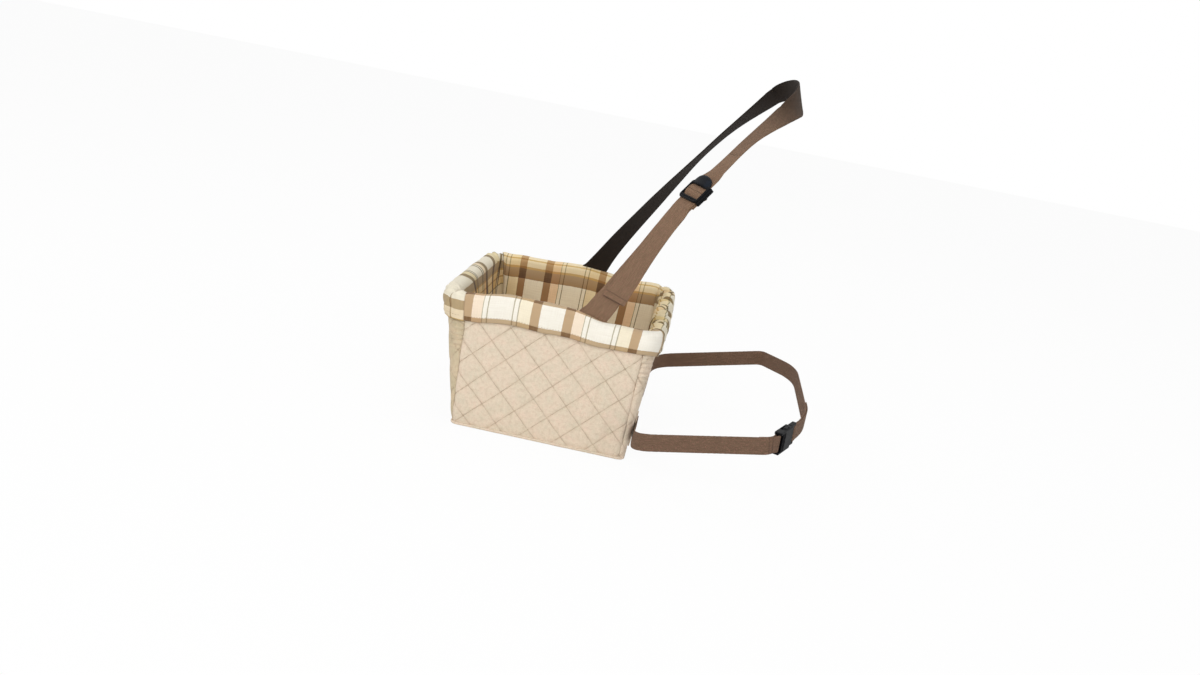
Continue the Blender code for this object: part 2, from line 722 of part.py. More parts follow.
def near_straps():
    """The near strap pieces: anchor strap, threaded stretch, strap to the loop and free tail."""
    _, _, across, out = NEAR_ROUTE.frame(ADJUSTER_PLACE_SHARE)
    reach = ADJUSTER_REACH + TOUCH_GAP
    reach_share = reach / NEAR_ROUTE.length()
    step = 1 / STRAP_STEPS
    low = route_shares(step, ADJUSTER_PLACE_SHARE - reach_share - step)
    anchor = NEAR_ROUTE.foot() + [NEAR_ROUTE.station(share) for share in low]
    anchor.append((at_adjuster(-reach, 0), across, out))
    ribbon("anchor_strap_near", anchor, STRAP_WIDTH, STRAP_THICKNESS, WEBBING)
    ends = (-ADJUSTER_REACH, ADJUSTER_REACH)
    threaded = [(at_adjuster(end, LAYER_LIFT), across, out) for end in ends]
    ribbon("threaded_strap", threaded, STRAP_WIDTH, STRAP_THICKNESS, WEBBING)
    upper = [(at_adjuster(reach, LAYER_LIFT), across, out)]
    high = route_shares(ADJUSTER_PLACE_SHARE + reach_share + step, 1)
    upper += [NEAR_ROUTE.station(share, LAYER_LIFT) for share in high]
    ribbon("head_strap_near", upper, STRAP_WIDTH, STRAP_THICKNESS, WEBBING)
    tail = [(at_adjuster(-reach, LAYER_LIFT), across, out)]
    for share in low[::-1] + [TAIL_END_SHARE]:
        if share >= TAIL_END_SHARE:
            part = (ADJUSTER_PLACE_SHARE - share) / (ADJUSTER_PLACE_SHARE - TAIL_END_SHARE)
            tail.append(NEAR_ROUTE.station(share, LAYER_LIFT, TAIL_SIDEWAYS * part))
    ribbon("strap_tail", tail, STRAP_WIDTH, STRAP_THICKNESS, WEBBING)


def far_strap():
    """The strap from the far rim up to the headrest's posts."""
    shares = route_shares(1 / STRAP_STEPS, 1)
    stations = FAR_ROUTE.foot() + [FAR_ROUTE.station(share) for share in shares]
    ribbon("head_strap_far", stations, STRAP_WIDTH, STRAP_THICKNESS, WEBBING)


def strap_loop():
    """The strap's stretch behind the headrest's posts."""
    near_end = NEAR_ROUTE.station(1, LAYER_LIFT)
    far_end = FAR_ROUTE.station(1)
    backward = Vector((0, LOOP_REACH_BACK, LOOP_RISE))
    middle_across = Vector((0, LOOP_LEAN_SHARE, -1)).normalized()
    turns = [math.pi * step / LOOP_STEPS for step in range(LOOP_STEPS + 1)]
    centres = []
    for turn in turns:
        level = near_end[0].lerp(far_end[0], (1 - math.cos(turn)) / 2)
        centres.append(level + backward * math.sin(turn))
    clear = backward.normalized() * TOUCH_GAP * 2
    stations = [(near_end[0] + clear, near_end[1], near_end[2])]
    for index in range(1, LOOP_STEPS):
        along = (centres[index + 1] - centres[index - 1]).normalized()
        side = near_end[1] if index * 2 < LOOP_STEPS else far_end[1]
        wish = side.lerp(middle_across, math.sin(turns[index]))
        across = (wish - along * wish.dot(along)).normalized()
        stations.append((centres[index], across, across.cross(along)))
    stations.append((far_end[0] + clear, far_end[1], far_end[2]))
    ribbon("head_strap_loop", stations, STRAP_WIDTH, STRAP_THICKNESS, WEBBING)


def rod_loop(route, name):
    """The webbing loop round the rim rod, with legs that hold the strap's foot between them."""
    rod_height = rim_rod_height()
    foot_height = strap_foot_height()
    top = BOX_HEIGHT - CREST_RISE
    radius = RIM_ROD_RADIUS + TOUCH_GAP + STRAP_THICKNESS / 2
    leg = STRAP_THICKNESS + 2 * TOUCH_GAP
    line = [(-leg, top), (-leg, foot_height)]
    for step in range(FOLD_TURN_STEPS + 1):
        turn = math.pi * (1 + step / FOLD_TURN_STEPS)
        line.append((radius * math.cos(turn), rod_height + radius * math.sin(turn)))
    line += [(leg, foot_height), (leg, top)]
    run = route.frame(0)[1]
    shift = (route.rim.z - foot_height) * run.y / run.z
    centre = Vector((route.rim.x, route.rim.y - shift, 0))

    def place(along, out, across):
        """A point of the loop in the wall."""
        return centre + Vector((along, across, out))

    folded_ribbon(name, line, place, STRAP_WIDTH, STRAP_THICKNESS, WEBBING)


def strap_slot(route, liner, name):
    """Cut the slot that a strap leaves the rim by."""
    run = route.frame(0)[1]
    slant = run.y / run.z
    rise = CREST_RISE + CUT_OVERRUN
    low, high = -STRAP_WIDTH / run.z / 2 - SLOT_CLEARANCE, STRAP_WIDTH / run.z / 2 + SLOT_CLEARANCE
    wide = STRAP_THICKNESS / 2 + SLOT_CLEARANCE
    rings = []
    for height in (BOX_HEIGHT - rise, BOX_HEIGHT + rise):
        drift = (height - route.rim.z) * slant
        middle = Vector((route.rim.x, route.rim.y + drift, height))
        corners = ((-wide, low), (wide, low), (wide, high), (-wide, high))
        rings.append([middle + Vector((x, y, 0)) for x, y in corners])
    cut(liner, add_mesh(name, *skinned(rings), PLAID))


def frame_matrix(centre, along, across, out):
    """A matrix with the directions as its columns."""
    frame = Matrix.Identity(4)
    for column, direction in enumerate((along, across, out)):
        frame.col[column][:3] = direction
    frame.translation = centre
    return frame


def block(name, frame, first, last, bevel=0):
    """A box of black plastic between two corners of a frame."""
    (a0, c0, o0), (a1, c1, o1) = first, last
    plan = ((a0, c0), (a1, c0), (a1, c1), (a0, c1))
    rings = [[Vector((along, across, out)) for along, across in plan] for out in (o0, o1)]
    made = add_mesh(name, *skinned(rings), BLACK_PLASTIC)
    made.matrix_world = frame
    if bevel:
        edge = made.modifiers.new("edges", "BEVEL")
        edge.width = bevel
        edge.segments = 2
    return made


def adjuster_pivot():
    """Where the adjuster tilts: the middle of its lower bar, along the strap and out from it."""
    over = LAYER_LIFT + STRAP_THICKNESS / 2 + TOUCH_GAP
    return -ADJUSTER_WINDOW / 2 - ADJUSTER_LOWER_BAR / 2, over + ADJUSTER_BAR_THICKNESS / 2


def adjuster():
    """The moulded strap adjuster: two bars over the strap, one under it, sides and a domed tab."""
    centre, along, across, out = NEAR_ROUTE.frame(ADJUSTER_PLACE_SHARE)
    pivot_along, pivot_out = adjuster_pivot()
    pivot = centre + along * pivot_along + out * pivot_out
    frame = frame_matrix(pivot, along, -across, out)
    inner = STRAP_WIDTH / 2 + ADJUSTER_SIDE_CLEARANCE
    outer = inner + ADJUSTER_SIDE_BAR
    low = -ADJUSTER_LOWER_BAR / 2
    window_low = ADJUSTER_LOWER_BAR / 2
    window_high = window_low + ADJUSTER_WINDOW
    high = window_high + ADJUSTER_UPPER_BAR
    over, top = -ADJUSTER_BAR_THICKNESS / 2, ADJUSTER_BAR_THICKNESS / 2
    bottom = centre_bar_out() - ADJUSTER_CENTRE_BAR_RADIUS - pivot_out
    body = block("strap_adjuster", frame, (low, -outer, bottom), (high, outer, top), ADJUSTER_BEVEL)
    cut(body, block("adjuster_window", frame, (window_low, -inner, over - CUT_OVERRUN),
                    (window_high, inner, top + CUT_OVERRUN)))
    cut(body, block("adjuster_passage", frame, (low - CUT_OVERRUN, -inner, bottom - CUT_OVERRUN),
                    (high + CUT_OVERRUN, inner, over)))
    cut(body, adjuster_tab(frame, high, over, outer), "UNION")
    cut(body, adjuster_centre_bar(frame, outer, centre_bar_out() - pivot_out, -pivot_along), "UNION")


def adjuster_tab(frame, start, over, outer):
    """The adjuster's domed lift tab, which curves up at its end."""
    rings = []
    half = outer * TAB_WIDTH_SHARE
    root = start - ADJUSTER_UPPER_BAR * TAB_ROOT_SHARE
    for level in (0, 1):
        plan = [(root, -half), (root, half)]
        for step in range(TAB_STEPS + 1):
            turn = math.pi * (1 / 2 - step / TAB_STEPS)
            plan.append((start + ADJUSTER_TAB_LENGTH * math.cos(turn), half * math.sin(turn)))
        ring = []
        for along, across in plan:
            reach = max(0, (along - start) / ADJUSTER_TAB_LENGTH)
            thick = ADJUSTER_BAR_THICKNESS * (1 - TAB_THINNING_SHARE * (1 + reach))
            under = over + TOUCH_GAP + ADJUSTER_TAB_RISE * reach ** 2
            ring.append(Vector((along, across, under + thick * level)))
        rings.append(ring)
    made = add_mesh("adjuster_tab", *skinned(rings), BLACK_PLASTIC)
    made.matrix_world = frame
    return made


def centre_bar_out():
    """How far out the adjuster's centre bar lies: under the strap by the thickness of its own bight."""
    return -STRAP_THICKNESS / 2 - TOUCH_GAP - ADJUSTER_CENTRE_BAR_RADIUS


def adjuster_centre_bar(frame, outer, out, along):
    """The bar that the anchor strap's bight goes round."""
    reach = outer - ADJUSTER_SIDE_BAR / 2
    rings = []
    for across in (-reach, reach):
        ring = []
        for step in range(BAR_SIDES):
            turn = 2 * math.pi * step / BAR_SIDES
            shift = Vector((math.cos(turn), 0, math.sin(turn))) * ADJUSTER_CENTRE_BAR_RADIUS
            ring.append(Vector((along, across, out)) + shift)
        rings.append(ring)
    made = add_mesh("adjuster_bar", *skinned(rings), BLACK_PLASTIC)
    made.matrix_world = frame
    return made


def anchor_bight():
    """The anchor strap's end, sewn back on itself round the adjuster's centre bar."""
    line = fold_line(0, centre_bar_out(), ADJUSTER_CENTRE_BAR_RADIUS, STRAP_THICKNESS, 1,
                     ADJUSTER_REACH, BIGHT_RETURN, -1)
    folded_ribbon("anchor_strap_bight", line, at_adjuster, STRAP_WIDTH, STRAP_THICKNESS, WEBBING)


class BeltRoute:
    """The belt's way from the rear wall round the backrest and back, by distance along it."""

    def __init__(self):
        corners = self.corners()
        bends = (0, BELT_FRONT_BEND, BELT_SIDE_BEND, BELT_BACK_BEND)
        bends += bends[::-1]
        leave_share = self.wall_run() / (BELT_FRONT_HALF_WIDTH - BELT_END_FROM_CENTRE)
        self.points = [corners[0], corners[0].lerp(corners[1], leave_share)]
        for before, point, after, bend in zip(corners, corners[1:], corners[2:], bends[1:]):
            start = point + (before - point).normalized() * bend
            end = point + (after - point).normalized() * bend
            for step in range(BELT_BEND_STEPS + 1):
                part = step / BELT_BEND_STEPS
                self.points.append(start.lerp(point, part).lerp(point.lerp(end, part), part))
        self.points += [corners[-1].lerp(corners[-2], leave_share), corners[-1]]
        self.marks = [0.0]
        for first, last in zip(self.points, self.points[1:]):
            self.marks.append(self.marks[-1] + (last - first).length)

    @staticmethod
    def corners():
        """The belt's corners before they are rounded."""
        half = [
            Vector((BELT_END_FROM_CENTRE, belt_wall(BELT_WALL_HEIGHT), BELT_WALL_HEIGHT)),
            Vector((BELT_FRONT_HALF_WIDTH, belt_wall(BELT_FRONT_HEIGHT), BELT_FRONT_HEIGHT)),
            Vector((BELT_HALF_WIDTH, BELT_SIDE_SETBACK, BELT_SIDE_HEIGHT)),
            Vector((BELT_HALF_WIDTH - BELT_BACK_TURN_IN, BELT_SIDE_SETBACK + BELT_BACK_DEEPER,
                    BELT_BACK_HEIGHT)),
        ]
        return half + [Vector((-point.x, point.y, point.z)) for point in half[::-1]]

    def length(self):
        """The belt's whole length."""
        return self.marks[-1]

    def tangent(self, index):
        """The direction of the belt at one of its points."""
        before = self.points[max(index - 1, 0)]
        after = self.points[min(index + 1, len(self.points) - 1)]
        return (after - before).normalized()

    def frame(self, distance):
        """Centre, along, across and out at a distance along the belt."""
        last = len(self.points) - 2
        index = next((i for i in range(last) if self.marks[i + 1] >= distance), last)
        part = (distance - self.marks[index]) / (self.marks[index + 1] - self.marks[index])
        centre = self.points[index].lerp(self.points[index + 1], part)
        along = self.tangent(index).lerp(self.tangent(index + 1), part).normalized()
        off_wall = max(0, min(distance, self.length() - distance) - self.wall_run()) / BELT_FRONT_BEND
        wish = WALL_LEAN.lerp(UP, min(1, off_wall))
        across = (wish - along * wish.dot(along)).normalized()
        return centre, along, across, along.cross(across)

    @staticmethod
    def wall_run():
        """How much of the belt lies on the rear wall."""
        return BASE_WIDTH / 2 - BELT_END_FROM_CENTRE

    def stations(self, start, end, lift=0):
        """Webbing stations between two distances."""
        close = BELT_THICKNESS
        marks = [start] + [mark for mark in self.marks if start + close < mark < end - close] + [end]
        made = []
        for mark in marks:
            centre, _, across, out = self.frame(mark)
            made.append((centre + out * lift, across, out))
        return made

    def buckle_start(self):
        """Where the buckle begins, past the bend to the back."""
        return self.marks[2 * (BELT_BEND_STEPS + 1) + 1] + BUCKLE_FROM_BEND


def belt_wall(height):
    """Where the belt's centre lies on its patch on the rear wall, at a height."""
    return rear_edge(height) + PATCH_THICKNESS + BELT_THICKNESS / 2 + 2 * TOUCH_GAP


WALL_LEAN = Vector((0, REAR_FLARE, BOX_HEIGHT)).normalized()
WALL_OUT = Vector((0, BOX_HEIGHT, -REAR_FLARE)).normalized()
BELT_ROUTE = BeltRoute()


def on_belt(origin):
    """A function that puts points at distances past an origin on the belt's route."""

    def place(along_by, out_by, across_by):
        """A point by its distances along, out from and across the belt."""
        centre, _, across, out = BELT_ROUTE.frame(origin + along_by)
        return centre + out * out_by + across * across_by

    return place


def belts():
    """The belt's near half, far half and free tail, and its folds round the buckle's two bars."""
    start = BELT_ROUTE.buckle_start()
    tongue_end = start + tongue_start() + TONGUE_PLATE_LENGTH
    size = (BELT_WIDTH, BELT_THICKNESS, WEBBING)
    near_bar, far_bar = BUCKLE_BAR / 2, -BUCKLE_BAR / 2
    bar_radius = BUCKLE_BAR / math.sqrt(2)
    near_end = start + near_bar - BELT_FOLD_LENGTH
    ribbon("belt_near", BELT_ROUTE.stations(0, near_end - TOUCH_GAP), *size)
    line = fold_line(near_bar, 0, bar_radius, BELT_THICKNESS, 1, BELT_FOLD_LENGTH,
                     BELT_FOLD_LENGTH * FOLD_RETURN_SHARE, -1)
    folded_ribbon("belt_fold_near", line, on_belt(start), *size)
    far_start = tongue_end + far_bar + BELT_FOLD_LENGTH + TOUCH_GAP
    line = fold_line(far_bar, 0, bar_radius, BELT_THICKNESS, -1, BELT_FOLD_LENGTH, BELT_FOLD_LENGTH, 1)
    folded_ribbon("belt_fold_far", line, on_belt(tongue_end), *size)
    ribbon("belt_far", BELT_ROUTE.stations(far_start, BELT_ROUTE.length()), *size)
    lift = BELT_THICKNESS + 2 * TOUCH_GAP
    ribbon("belt_tail", BELT_ROUTE.stations(far_start, far_start + BELT_TAIL_LENGTH, lift), *size)


def belt_patch(side, name):
    """The patch that holds one end of the belt to the rear of the cover."""
    wall = rear_edge(BELT_WALL_HEIGHT) + TOUCH_GAP + PATCH_THICKNESS / 2
    middle = Vector((side * (BELT_END_FROM_CENTRE + PATCH_LENGTH / 2), wall, BELT_WALL_HEIGHT))
    ends = (middle - ACROSS * PATCH_LENGTH / 2, middle + ACROSS * PATCH_LENGTH / 2)
    stations = [(end, WALL_LEAN, WALL_OUT) for end in ends]
    ribbon(name, stations, PATCH_HEIGHT, PATCH_THICKNESS, SUEDE)


def buckle_frame():
    """A matrix for the buckle: along the belt, across it and out from it."""
    return frame_matrix(*BELT_ROUTE.frame(BELT_ROUTE.buckle_start()))


def belt_opening(name, low, high, depth):
    """A cutter for an opening that the belt passes through the buckle's thickness by."""
    half = BELT_WIDTH / 2 + ARM_CLEARANCE
    return block(name, buckle_frame(), (low, -half, -depth), (high, half, depth))


def buckle_socket():
    """The buckle's socket: a sleeve with a mouth, two side windows and a bar for the near belt."""
    frame = buckle_frame()
    half, depth = SOCKET_WIDTH / 2, SOCKET_THICKNESS / 2
    body = block("buckle_socket", frame, (0, -half, -depth), (SOCKET_LENGTH, half, depth), BUCKLE_BEVEL)
    inner, hollow = half - SOCKET_WALL, depth - SOCKET_WALL
    clear = depth + CUT_OVERRUN
    cut(body, block("socket_cavity", frame, (SOCKET_LOOP_LENGTH, -inner, -hollow),
                    (SOCKET_LENGTH + CUT_OVERRUN, inner, hollow)))
    window_end = SOCKET_LENGTH - SOCKET_WINDOW_FROM_MOUTH
    window_start = window_end - SOCKET_WINDOW_LENGTH
    cut(body, block("socket_windows", frame, (window_start, -half - CUT_OVERRUN, -hollow),
                    (window_end, half + CUT_OVERRUN, hollow)))
    slot_end = BUCKLE_BAR + BUCKLE_SLOT
    cut(body, belt_opening("socket_belt_slot", BUCKLE_BAR, slot_end, clear))
    side = BELT_WIDTH / 2 + ARM_CLEARANCE
    relief = BUCKLE_BAR + BUCKLE_SLOT / 2
    for name, low, high in (("socket_relief_out", BUCKLE_BAR / 2, clear),
                            ("socket_relief_in", -clear, -BUCKLE_BAR / 2)):
        cut(body, block(name, frame, (-CUT_OVERRUN, -side, low), (relief, side, high)))


def tongue_start():
    """Where the tongue's plate begins, just outside the socket's mouth."""
    return SOCKET_LENGTH + ARM_CLEARANCE


def buckle_tongue():
    """The buckle's tongue: a plate with a belt slot and a guide that goes into the socket."""
    frame = buckle_frame()
    half, depth = SOCKET_WIDTH / 2, TONGUE_THICKNESS / 2
    start = tongue_start()
    end = start + TONGUE_PLATE_LENGTH
    body = block("buckle_tongue", frame, (start, -half, -depth), (end, half, depth), BUCKLE_BEVEL)
    guide_half, guide_depth = TONGUE_GUIDE_WIDTH / 2, ARM_THICKNESS / 2
    cut(body, block("tongue_guide", frame, (start - TONGUE_GUIDE_LENGTH, -guide_half, -guide_depth),
                    (start + BUCKLE_BAR, guide_half, guide_depth)), "UNION")
    clear = depth + CUT_OVERRUN
    slot_low = end - BUCKLE_BAR - BUCKLE_SLOT
    cut(body, belt_opening("tongue_slot", slot_low, end - BUCKLE_BAR, clear))
    side = BELT_WIDTH / 2 + ARM_CLEARANCE
    relief = slot_low + BUCKLE_SLOT / 2
    for name, low, high in (("tongue_relief_out", BUCKLE_BAR / 2, clear),
                            ("tongue_relief_in", -clear, -BUCKLE_BAR / 2)):
        cut(body, block(name, frame, (relief, -side, low), (end + CUT_OVERRUN, side, high)))


def buckle_arm(sign, name):
    """One squeeze arm: it runs from the tongue into the socket and its pad fills a side window."""
    outer = SOCKET_WIDTH / 2 - SOCKET_WALL - ARM_CLEARANCE
    inner = outer - ARM_WIDTH
    pivot = (outer + inner) / 2
    root = tongue_start() - ARM_CLEARANCE
    pad_start = SOCKET_LENGTH - SOCKET_WINDOW_FROM_MOUTH - ARM_CLEARANCE - root
    pad = outer + ARM_BARB
    tip = -ARM_LENGTH
    outline = [
        (0, inner), (0, outer), (pad_start, outer), (pad_start, pad), (pad_start - ARM_WIDTH * 2, pad),
        (tip + ARM_WIDTH, outer), (tip, inner + ARM_WIDTH / 2), (tip, inner),
    ]
    depth = ARM_THICKNESS / 2
    plan = [(along, sign * (across - pivot)) for along, across in outline]
    rings = [[Vector((along, across, out)) for along, across in plan] for out in (-depth, depth)]
    made = add_mesh(name, *skinned(rings), BLACK_PLASTIC)
    made.matrix_world = buckle_frame() @ Matrix.Translation((root, sign * pivot, 0))


def tether():
    """The webbing tab on the rear wall and the D ring that hangs in it."""
    wall = Vector((0, rear_edge(TETHER_HEIGHT) - INSIDE_INSET, TETHER_HEIGHT))
    radius = RING_WIRE_RADIUS + TOUCH_GAP + TETHER_TAB_THICKNESS / 2
    base = TETHER_TAB_THICKNESS / 2 + TOUCH_GAP
    line = fold_line(0, radius, RING_WIRE_RADIUS, TETHER_TAB_THICKNESS, -1, TETHER_TAB_LENGTH,
                     TETHER_TAB_LENGTH, 1)

    def place(along, out, across):
        """A point of the tab on the wall."""
        return wall + WALL_LEAN * along - WALL_OUT * (base + out) + ACROSS * across

    folded_ribbon("tether_tab", line, place, TETHER_TAB_WIDTH, TETHER_TAB_THICKNESS, WEBBING)
    d_ring(place(0, radius, 0))


def d_ring(centre):
    """The D ring: a straight bar in the tab and a bow that hangs below it."""
    path = [ACROSS * RING_HALF_WIDTH * share for share in (-1, 0, 1)]
    corner_drop = 2 * RING_WIRE_RADIUS
    for step in range(RING_STEPS + 1):
        turn = math.pi * step / RING_STEPS
        drop = corner_drop + (RING_DROP - corner_drop) * math.sin(turn)
        path.append(ACROSS * RING_HALF_WIDTH * math.cos(turn) - WALL_LEAN * drop)
    ring = tube("tether_ring", path, RING_WIRE_RADIUS, STEEL, cyclic=True)
    ring.location = centre


def build():
    """Build every piece."""
    clear_scene()
    base_stack()
    rod_frame()
    liners = {}
    for side in (NEAR, REAR, FAR, FRONT):
        cover_panel(side)
        foam_board(side)
        liners[side] = liner_panel(side)
    strap_slot(NEAR_ROUTE, liners[NEAR], "near_slot_cutter")
    strap_slot(FAR_ROUTE, liners[FAR], "far_slot_cutter")
    floor_cushion()
    near_straps()
    anchor_bight()
    adjuster()
    far_strap()
    strap_loop()
    rod_loop(NEAR_ROUTE, "rod_loop_near")
    rod_loop(FAR_ROUTE, "rod_loop_far")
    belts()
    belt_patch(1, "belt_patch_near")
    belt_patch(-1, "belt_patch_far")
    buckle_socket()
    buckle_tongue()
    buckle_arm(1, "buckle_arm_upper")
    buckle_arm(-1, "buckle_arm_lower")
    tether()


build()
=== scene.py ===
"""The looks of a booster car seat for a small dog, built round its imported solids.

Metres, +Z up, +X towards the side with the strap adjuster, +Y towards the backrest.
"""

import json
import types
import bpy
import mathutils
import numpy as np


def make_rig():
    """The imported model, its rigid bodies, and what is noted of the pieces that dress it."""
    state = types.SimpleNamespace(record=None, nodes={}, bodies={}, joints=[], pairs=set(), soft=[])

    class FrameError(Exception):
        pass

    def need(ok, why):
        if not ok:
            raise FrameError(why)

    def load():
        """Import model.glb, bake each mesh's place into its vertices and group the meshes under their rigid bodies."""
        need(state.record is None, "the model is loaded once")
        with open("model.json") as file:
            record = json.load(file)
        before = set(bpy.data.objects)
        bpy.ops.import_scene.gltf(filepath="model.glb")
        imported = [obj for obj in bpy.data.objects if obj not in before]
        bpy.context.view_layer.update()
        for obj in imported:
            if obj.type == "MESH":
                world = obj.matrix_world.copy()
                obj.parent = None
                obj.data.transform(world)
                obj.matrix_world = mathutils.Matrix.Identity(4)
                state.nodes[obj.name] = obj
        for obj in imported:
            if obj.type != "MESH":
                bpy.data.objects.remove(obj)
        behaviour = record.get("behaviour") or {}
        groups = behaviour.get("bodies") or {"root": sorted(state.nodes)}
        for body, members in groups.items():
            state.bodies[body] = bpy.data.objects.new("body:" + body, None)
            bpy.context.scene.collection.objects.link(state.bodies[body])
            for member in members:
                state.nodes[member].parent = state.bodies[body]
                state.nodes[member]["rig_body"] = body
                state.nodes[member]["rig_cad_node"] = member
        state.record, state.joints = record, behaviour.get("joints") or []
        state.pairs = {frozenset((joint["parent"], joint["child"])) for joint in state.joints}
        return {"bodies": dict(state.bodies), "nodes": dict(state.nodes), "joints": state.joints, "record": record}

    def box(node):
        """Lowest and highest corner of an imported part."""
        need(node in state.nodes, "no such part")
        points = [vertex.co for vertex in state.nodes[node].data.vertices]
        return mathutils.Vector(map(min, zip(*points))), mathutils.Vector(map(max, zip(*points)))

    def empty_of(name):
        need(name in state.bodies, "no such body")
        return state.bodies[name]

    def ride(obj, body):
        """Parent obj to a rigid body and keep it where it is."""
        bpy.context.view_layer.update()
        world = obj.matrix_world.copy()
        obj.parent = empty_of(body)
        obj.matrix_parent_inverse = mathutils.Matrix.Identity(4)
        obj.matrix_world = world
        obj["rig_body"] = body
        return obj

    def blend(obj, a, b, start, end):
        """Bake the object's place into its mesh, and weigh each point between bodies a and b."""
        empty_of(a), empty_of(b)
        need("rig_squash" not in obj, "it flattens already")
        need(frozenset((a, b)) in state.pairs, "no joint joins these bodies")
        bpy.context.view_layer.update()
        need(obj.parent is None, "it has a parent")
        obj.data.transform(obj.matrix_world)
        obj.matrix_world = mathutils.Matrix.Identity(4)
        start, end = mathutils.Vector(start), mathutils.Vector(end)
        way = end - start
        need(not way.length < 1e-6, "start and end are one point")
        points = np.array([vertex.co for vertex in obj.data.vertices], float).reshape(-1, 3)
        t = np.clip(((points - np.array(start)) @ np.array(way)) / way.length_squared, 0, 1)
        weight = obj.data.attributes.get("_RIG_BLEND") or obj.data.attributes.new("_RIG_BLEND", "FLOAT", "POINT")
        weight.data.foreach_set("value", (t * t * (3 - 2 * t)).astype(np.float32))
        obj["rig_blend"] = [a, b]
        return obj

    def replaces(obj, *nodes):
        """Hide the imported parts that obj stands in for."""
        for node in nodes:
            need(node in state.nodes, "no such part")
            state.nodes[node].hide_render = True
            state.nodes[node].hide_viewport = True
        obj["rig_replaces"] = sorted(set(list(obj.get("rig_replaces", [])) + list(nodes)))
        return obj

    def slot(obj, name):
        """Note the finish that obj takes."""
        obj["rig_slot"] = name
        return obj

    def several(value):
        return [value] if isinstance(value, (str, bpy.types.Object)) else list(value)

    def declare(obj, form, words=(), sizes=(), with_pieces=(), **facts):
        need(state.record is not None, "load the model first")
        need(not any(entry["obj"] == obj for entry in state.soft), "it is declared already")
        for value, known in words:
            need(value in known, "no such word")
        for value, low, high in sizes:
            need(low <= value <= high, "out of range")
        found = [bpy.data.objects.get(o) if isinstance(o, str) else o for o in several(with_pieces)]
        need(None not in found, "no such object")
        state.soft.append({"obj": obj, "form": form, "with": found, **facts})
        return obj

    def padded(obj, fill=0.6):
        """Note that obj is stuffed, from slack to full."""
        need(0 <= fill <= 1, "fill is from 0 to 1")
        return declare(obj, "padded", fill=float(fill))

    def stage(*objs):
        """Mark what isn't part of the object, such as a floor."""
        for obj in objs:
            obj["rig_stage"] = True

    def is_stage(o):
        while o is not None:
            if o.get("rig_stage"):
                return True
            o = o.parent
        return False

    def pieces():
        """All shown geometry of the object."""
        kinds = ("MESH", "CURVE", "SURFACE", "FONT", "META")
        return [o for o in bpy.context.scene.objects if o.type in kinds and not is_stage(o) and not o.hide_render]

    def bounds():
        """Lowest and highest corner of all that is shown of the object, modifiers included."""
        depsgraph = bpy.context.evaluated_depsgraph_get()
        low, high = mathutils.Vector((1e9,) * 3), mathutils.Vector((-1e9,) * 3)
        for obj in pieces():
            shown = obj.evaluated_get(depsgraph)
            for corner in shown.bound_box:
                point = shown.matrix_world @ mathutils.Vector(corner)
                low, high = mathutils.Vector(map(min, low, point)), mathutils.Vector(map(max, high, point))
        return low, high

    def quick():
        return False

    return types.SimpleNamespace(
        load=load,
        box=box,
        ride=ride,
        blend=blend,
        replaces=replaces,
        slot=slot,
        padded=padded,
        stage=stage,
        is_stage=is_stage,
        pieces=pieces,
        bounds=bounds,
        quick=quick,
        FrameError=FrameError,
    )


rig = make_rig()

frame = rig.load()

import json
import logging
from dataclasses import dataclass, field
from enum import Enum
from math import ceil, copysign, cos, exp, hypot, pi, radians, sin, sqrt
from typing import Any, Callable, Sequence

import bmesh
import bpy
from mathutils import Matrix, Vector, noise

SOLIDS_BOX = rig.bounds()
QUARTER = pi / 2
TURN = 2 * pi
UP = Vector((0, 0, 1))
ACROSS = Vector((1, 0, 0))
SETT = 0.150
QUILT_PITCH = 0.0356
QUILT_SHIFT = 0.019
TOUCH_GAP = 0.0003
LAYER_GAP = 0.0006
WORLD_LIGHT = 0.48
FLOOR_WHITE_SHARE = 0.94
Colour = tuple[float, float, float]
Spot = tuple[float, float, float]
Table = Sequence[tuple[float, float]]
Piece = bpy.types.Object
Finish = bpy.types.Material
Station = tuple[Vector, Vector]
Rows = Sequence[Sequence[Vector]]
Axes = tuple[Vector, Vector, Vector, Vector]
log = logging.getLogger("dog_car_seat")


def srgb(red: float, green: float, blue: float) -> Colour:
    """A linear colour from the 0 to 255 values that a screen shows."""
    parts = (red, green, blue)
    return tuple(((part / 255 + 0.055) / 1.055) ** 2.4 if part > 10 else part / 3294 for part in parts)


def sum_of(operation: str, reflected: bool = False) -> Callable[..., "Wire"]:
    """A wire's method that adds a Math node for one sum.

    Args:
        operation: the node's operation.
        reflected: whether the other value comes before the wire.

    Returns:
        The method, which takes the other value where the sum has one.
    """
    def method(wire: "Wire", other: Any = 0.0) -> "Wire":
        """The sum of the wire and the other value."""
        first, second = (other, wire) if reflected else (wire, other)
        return wire.bench.node("ShaderNodeMath", {"operation": operation}, {0: first, 1: second})

    return method


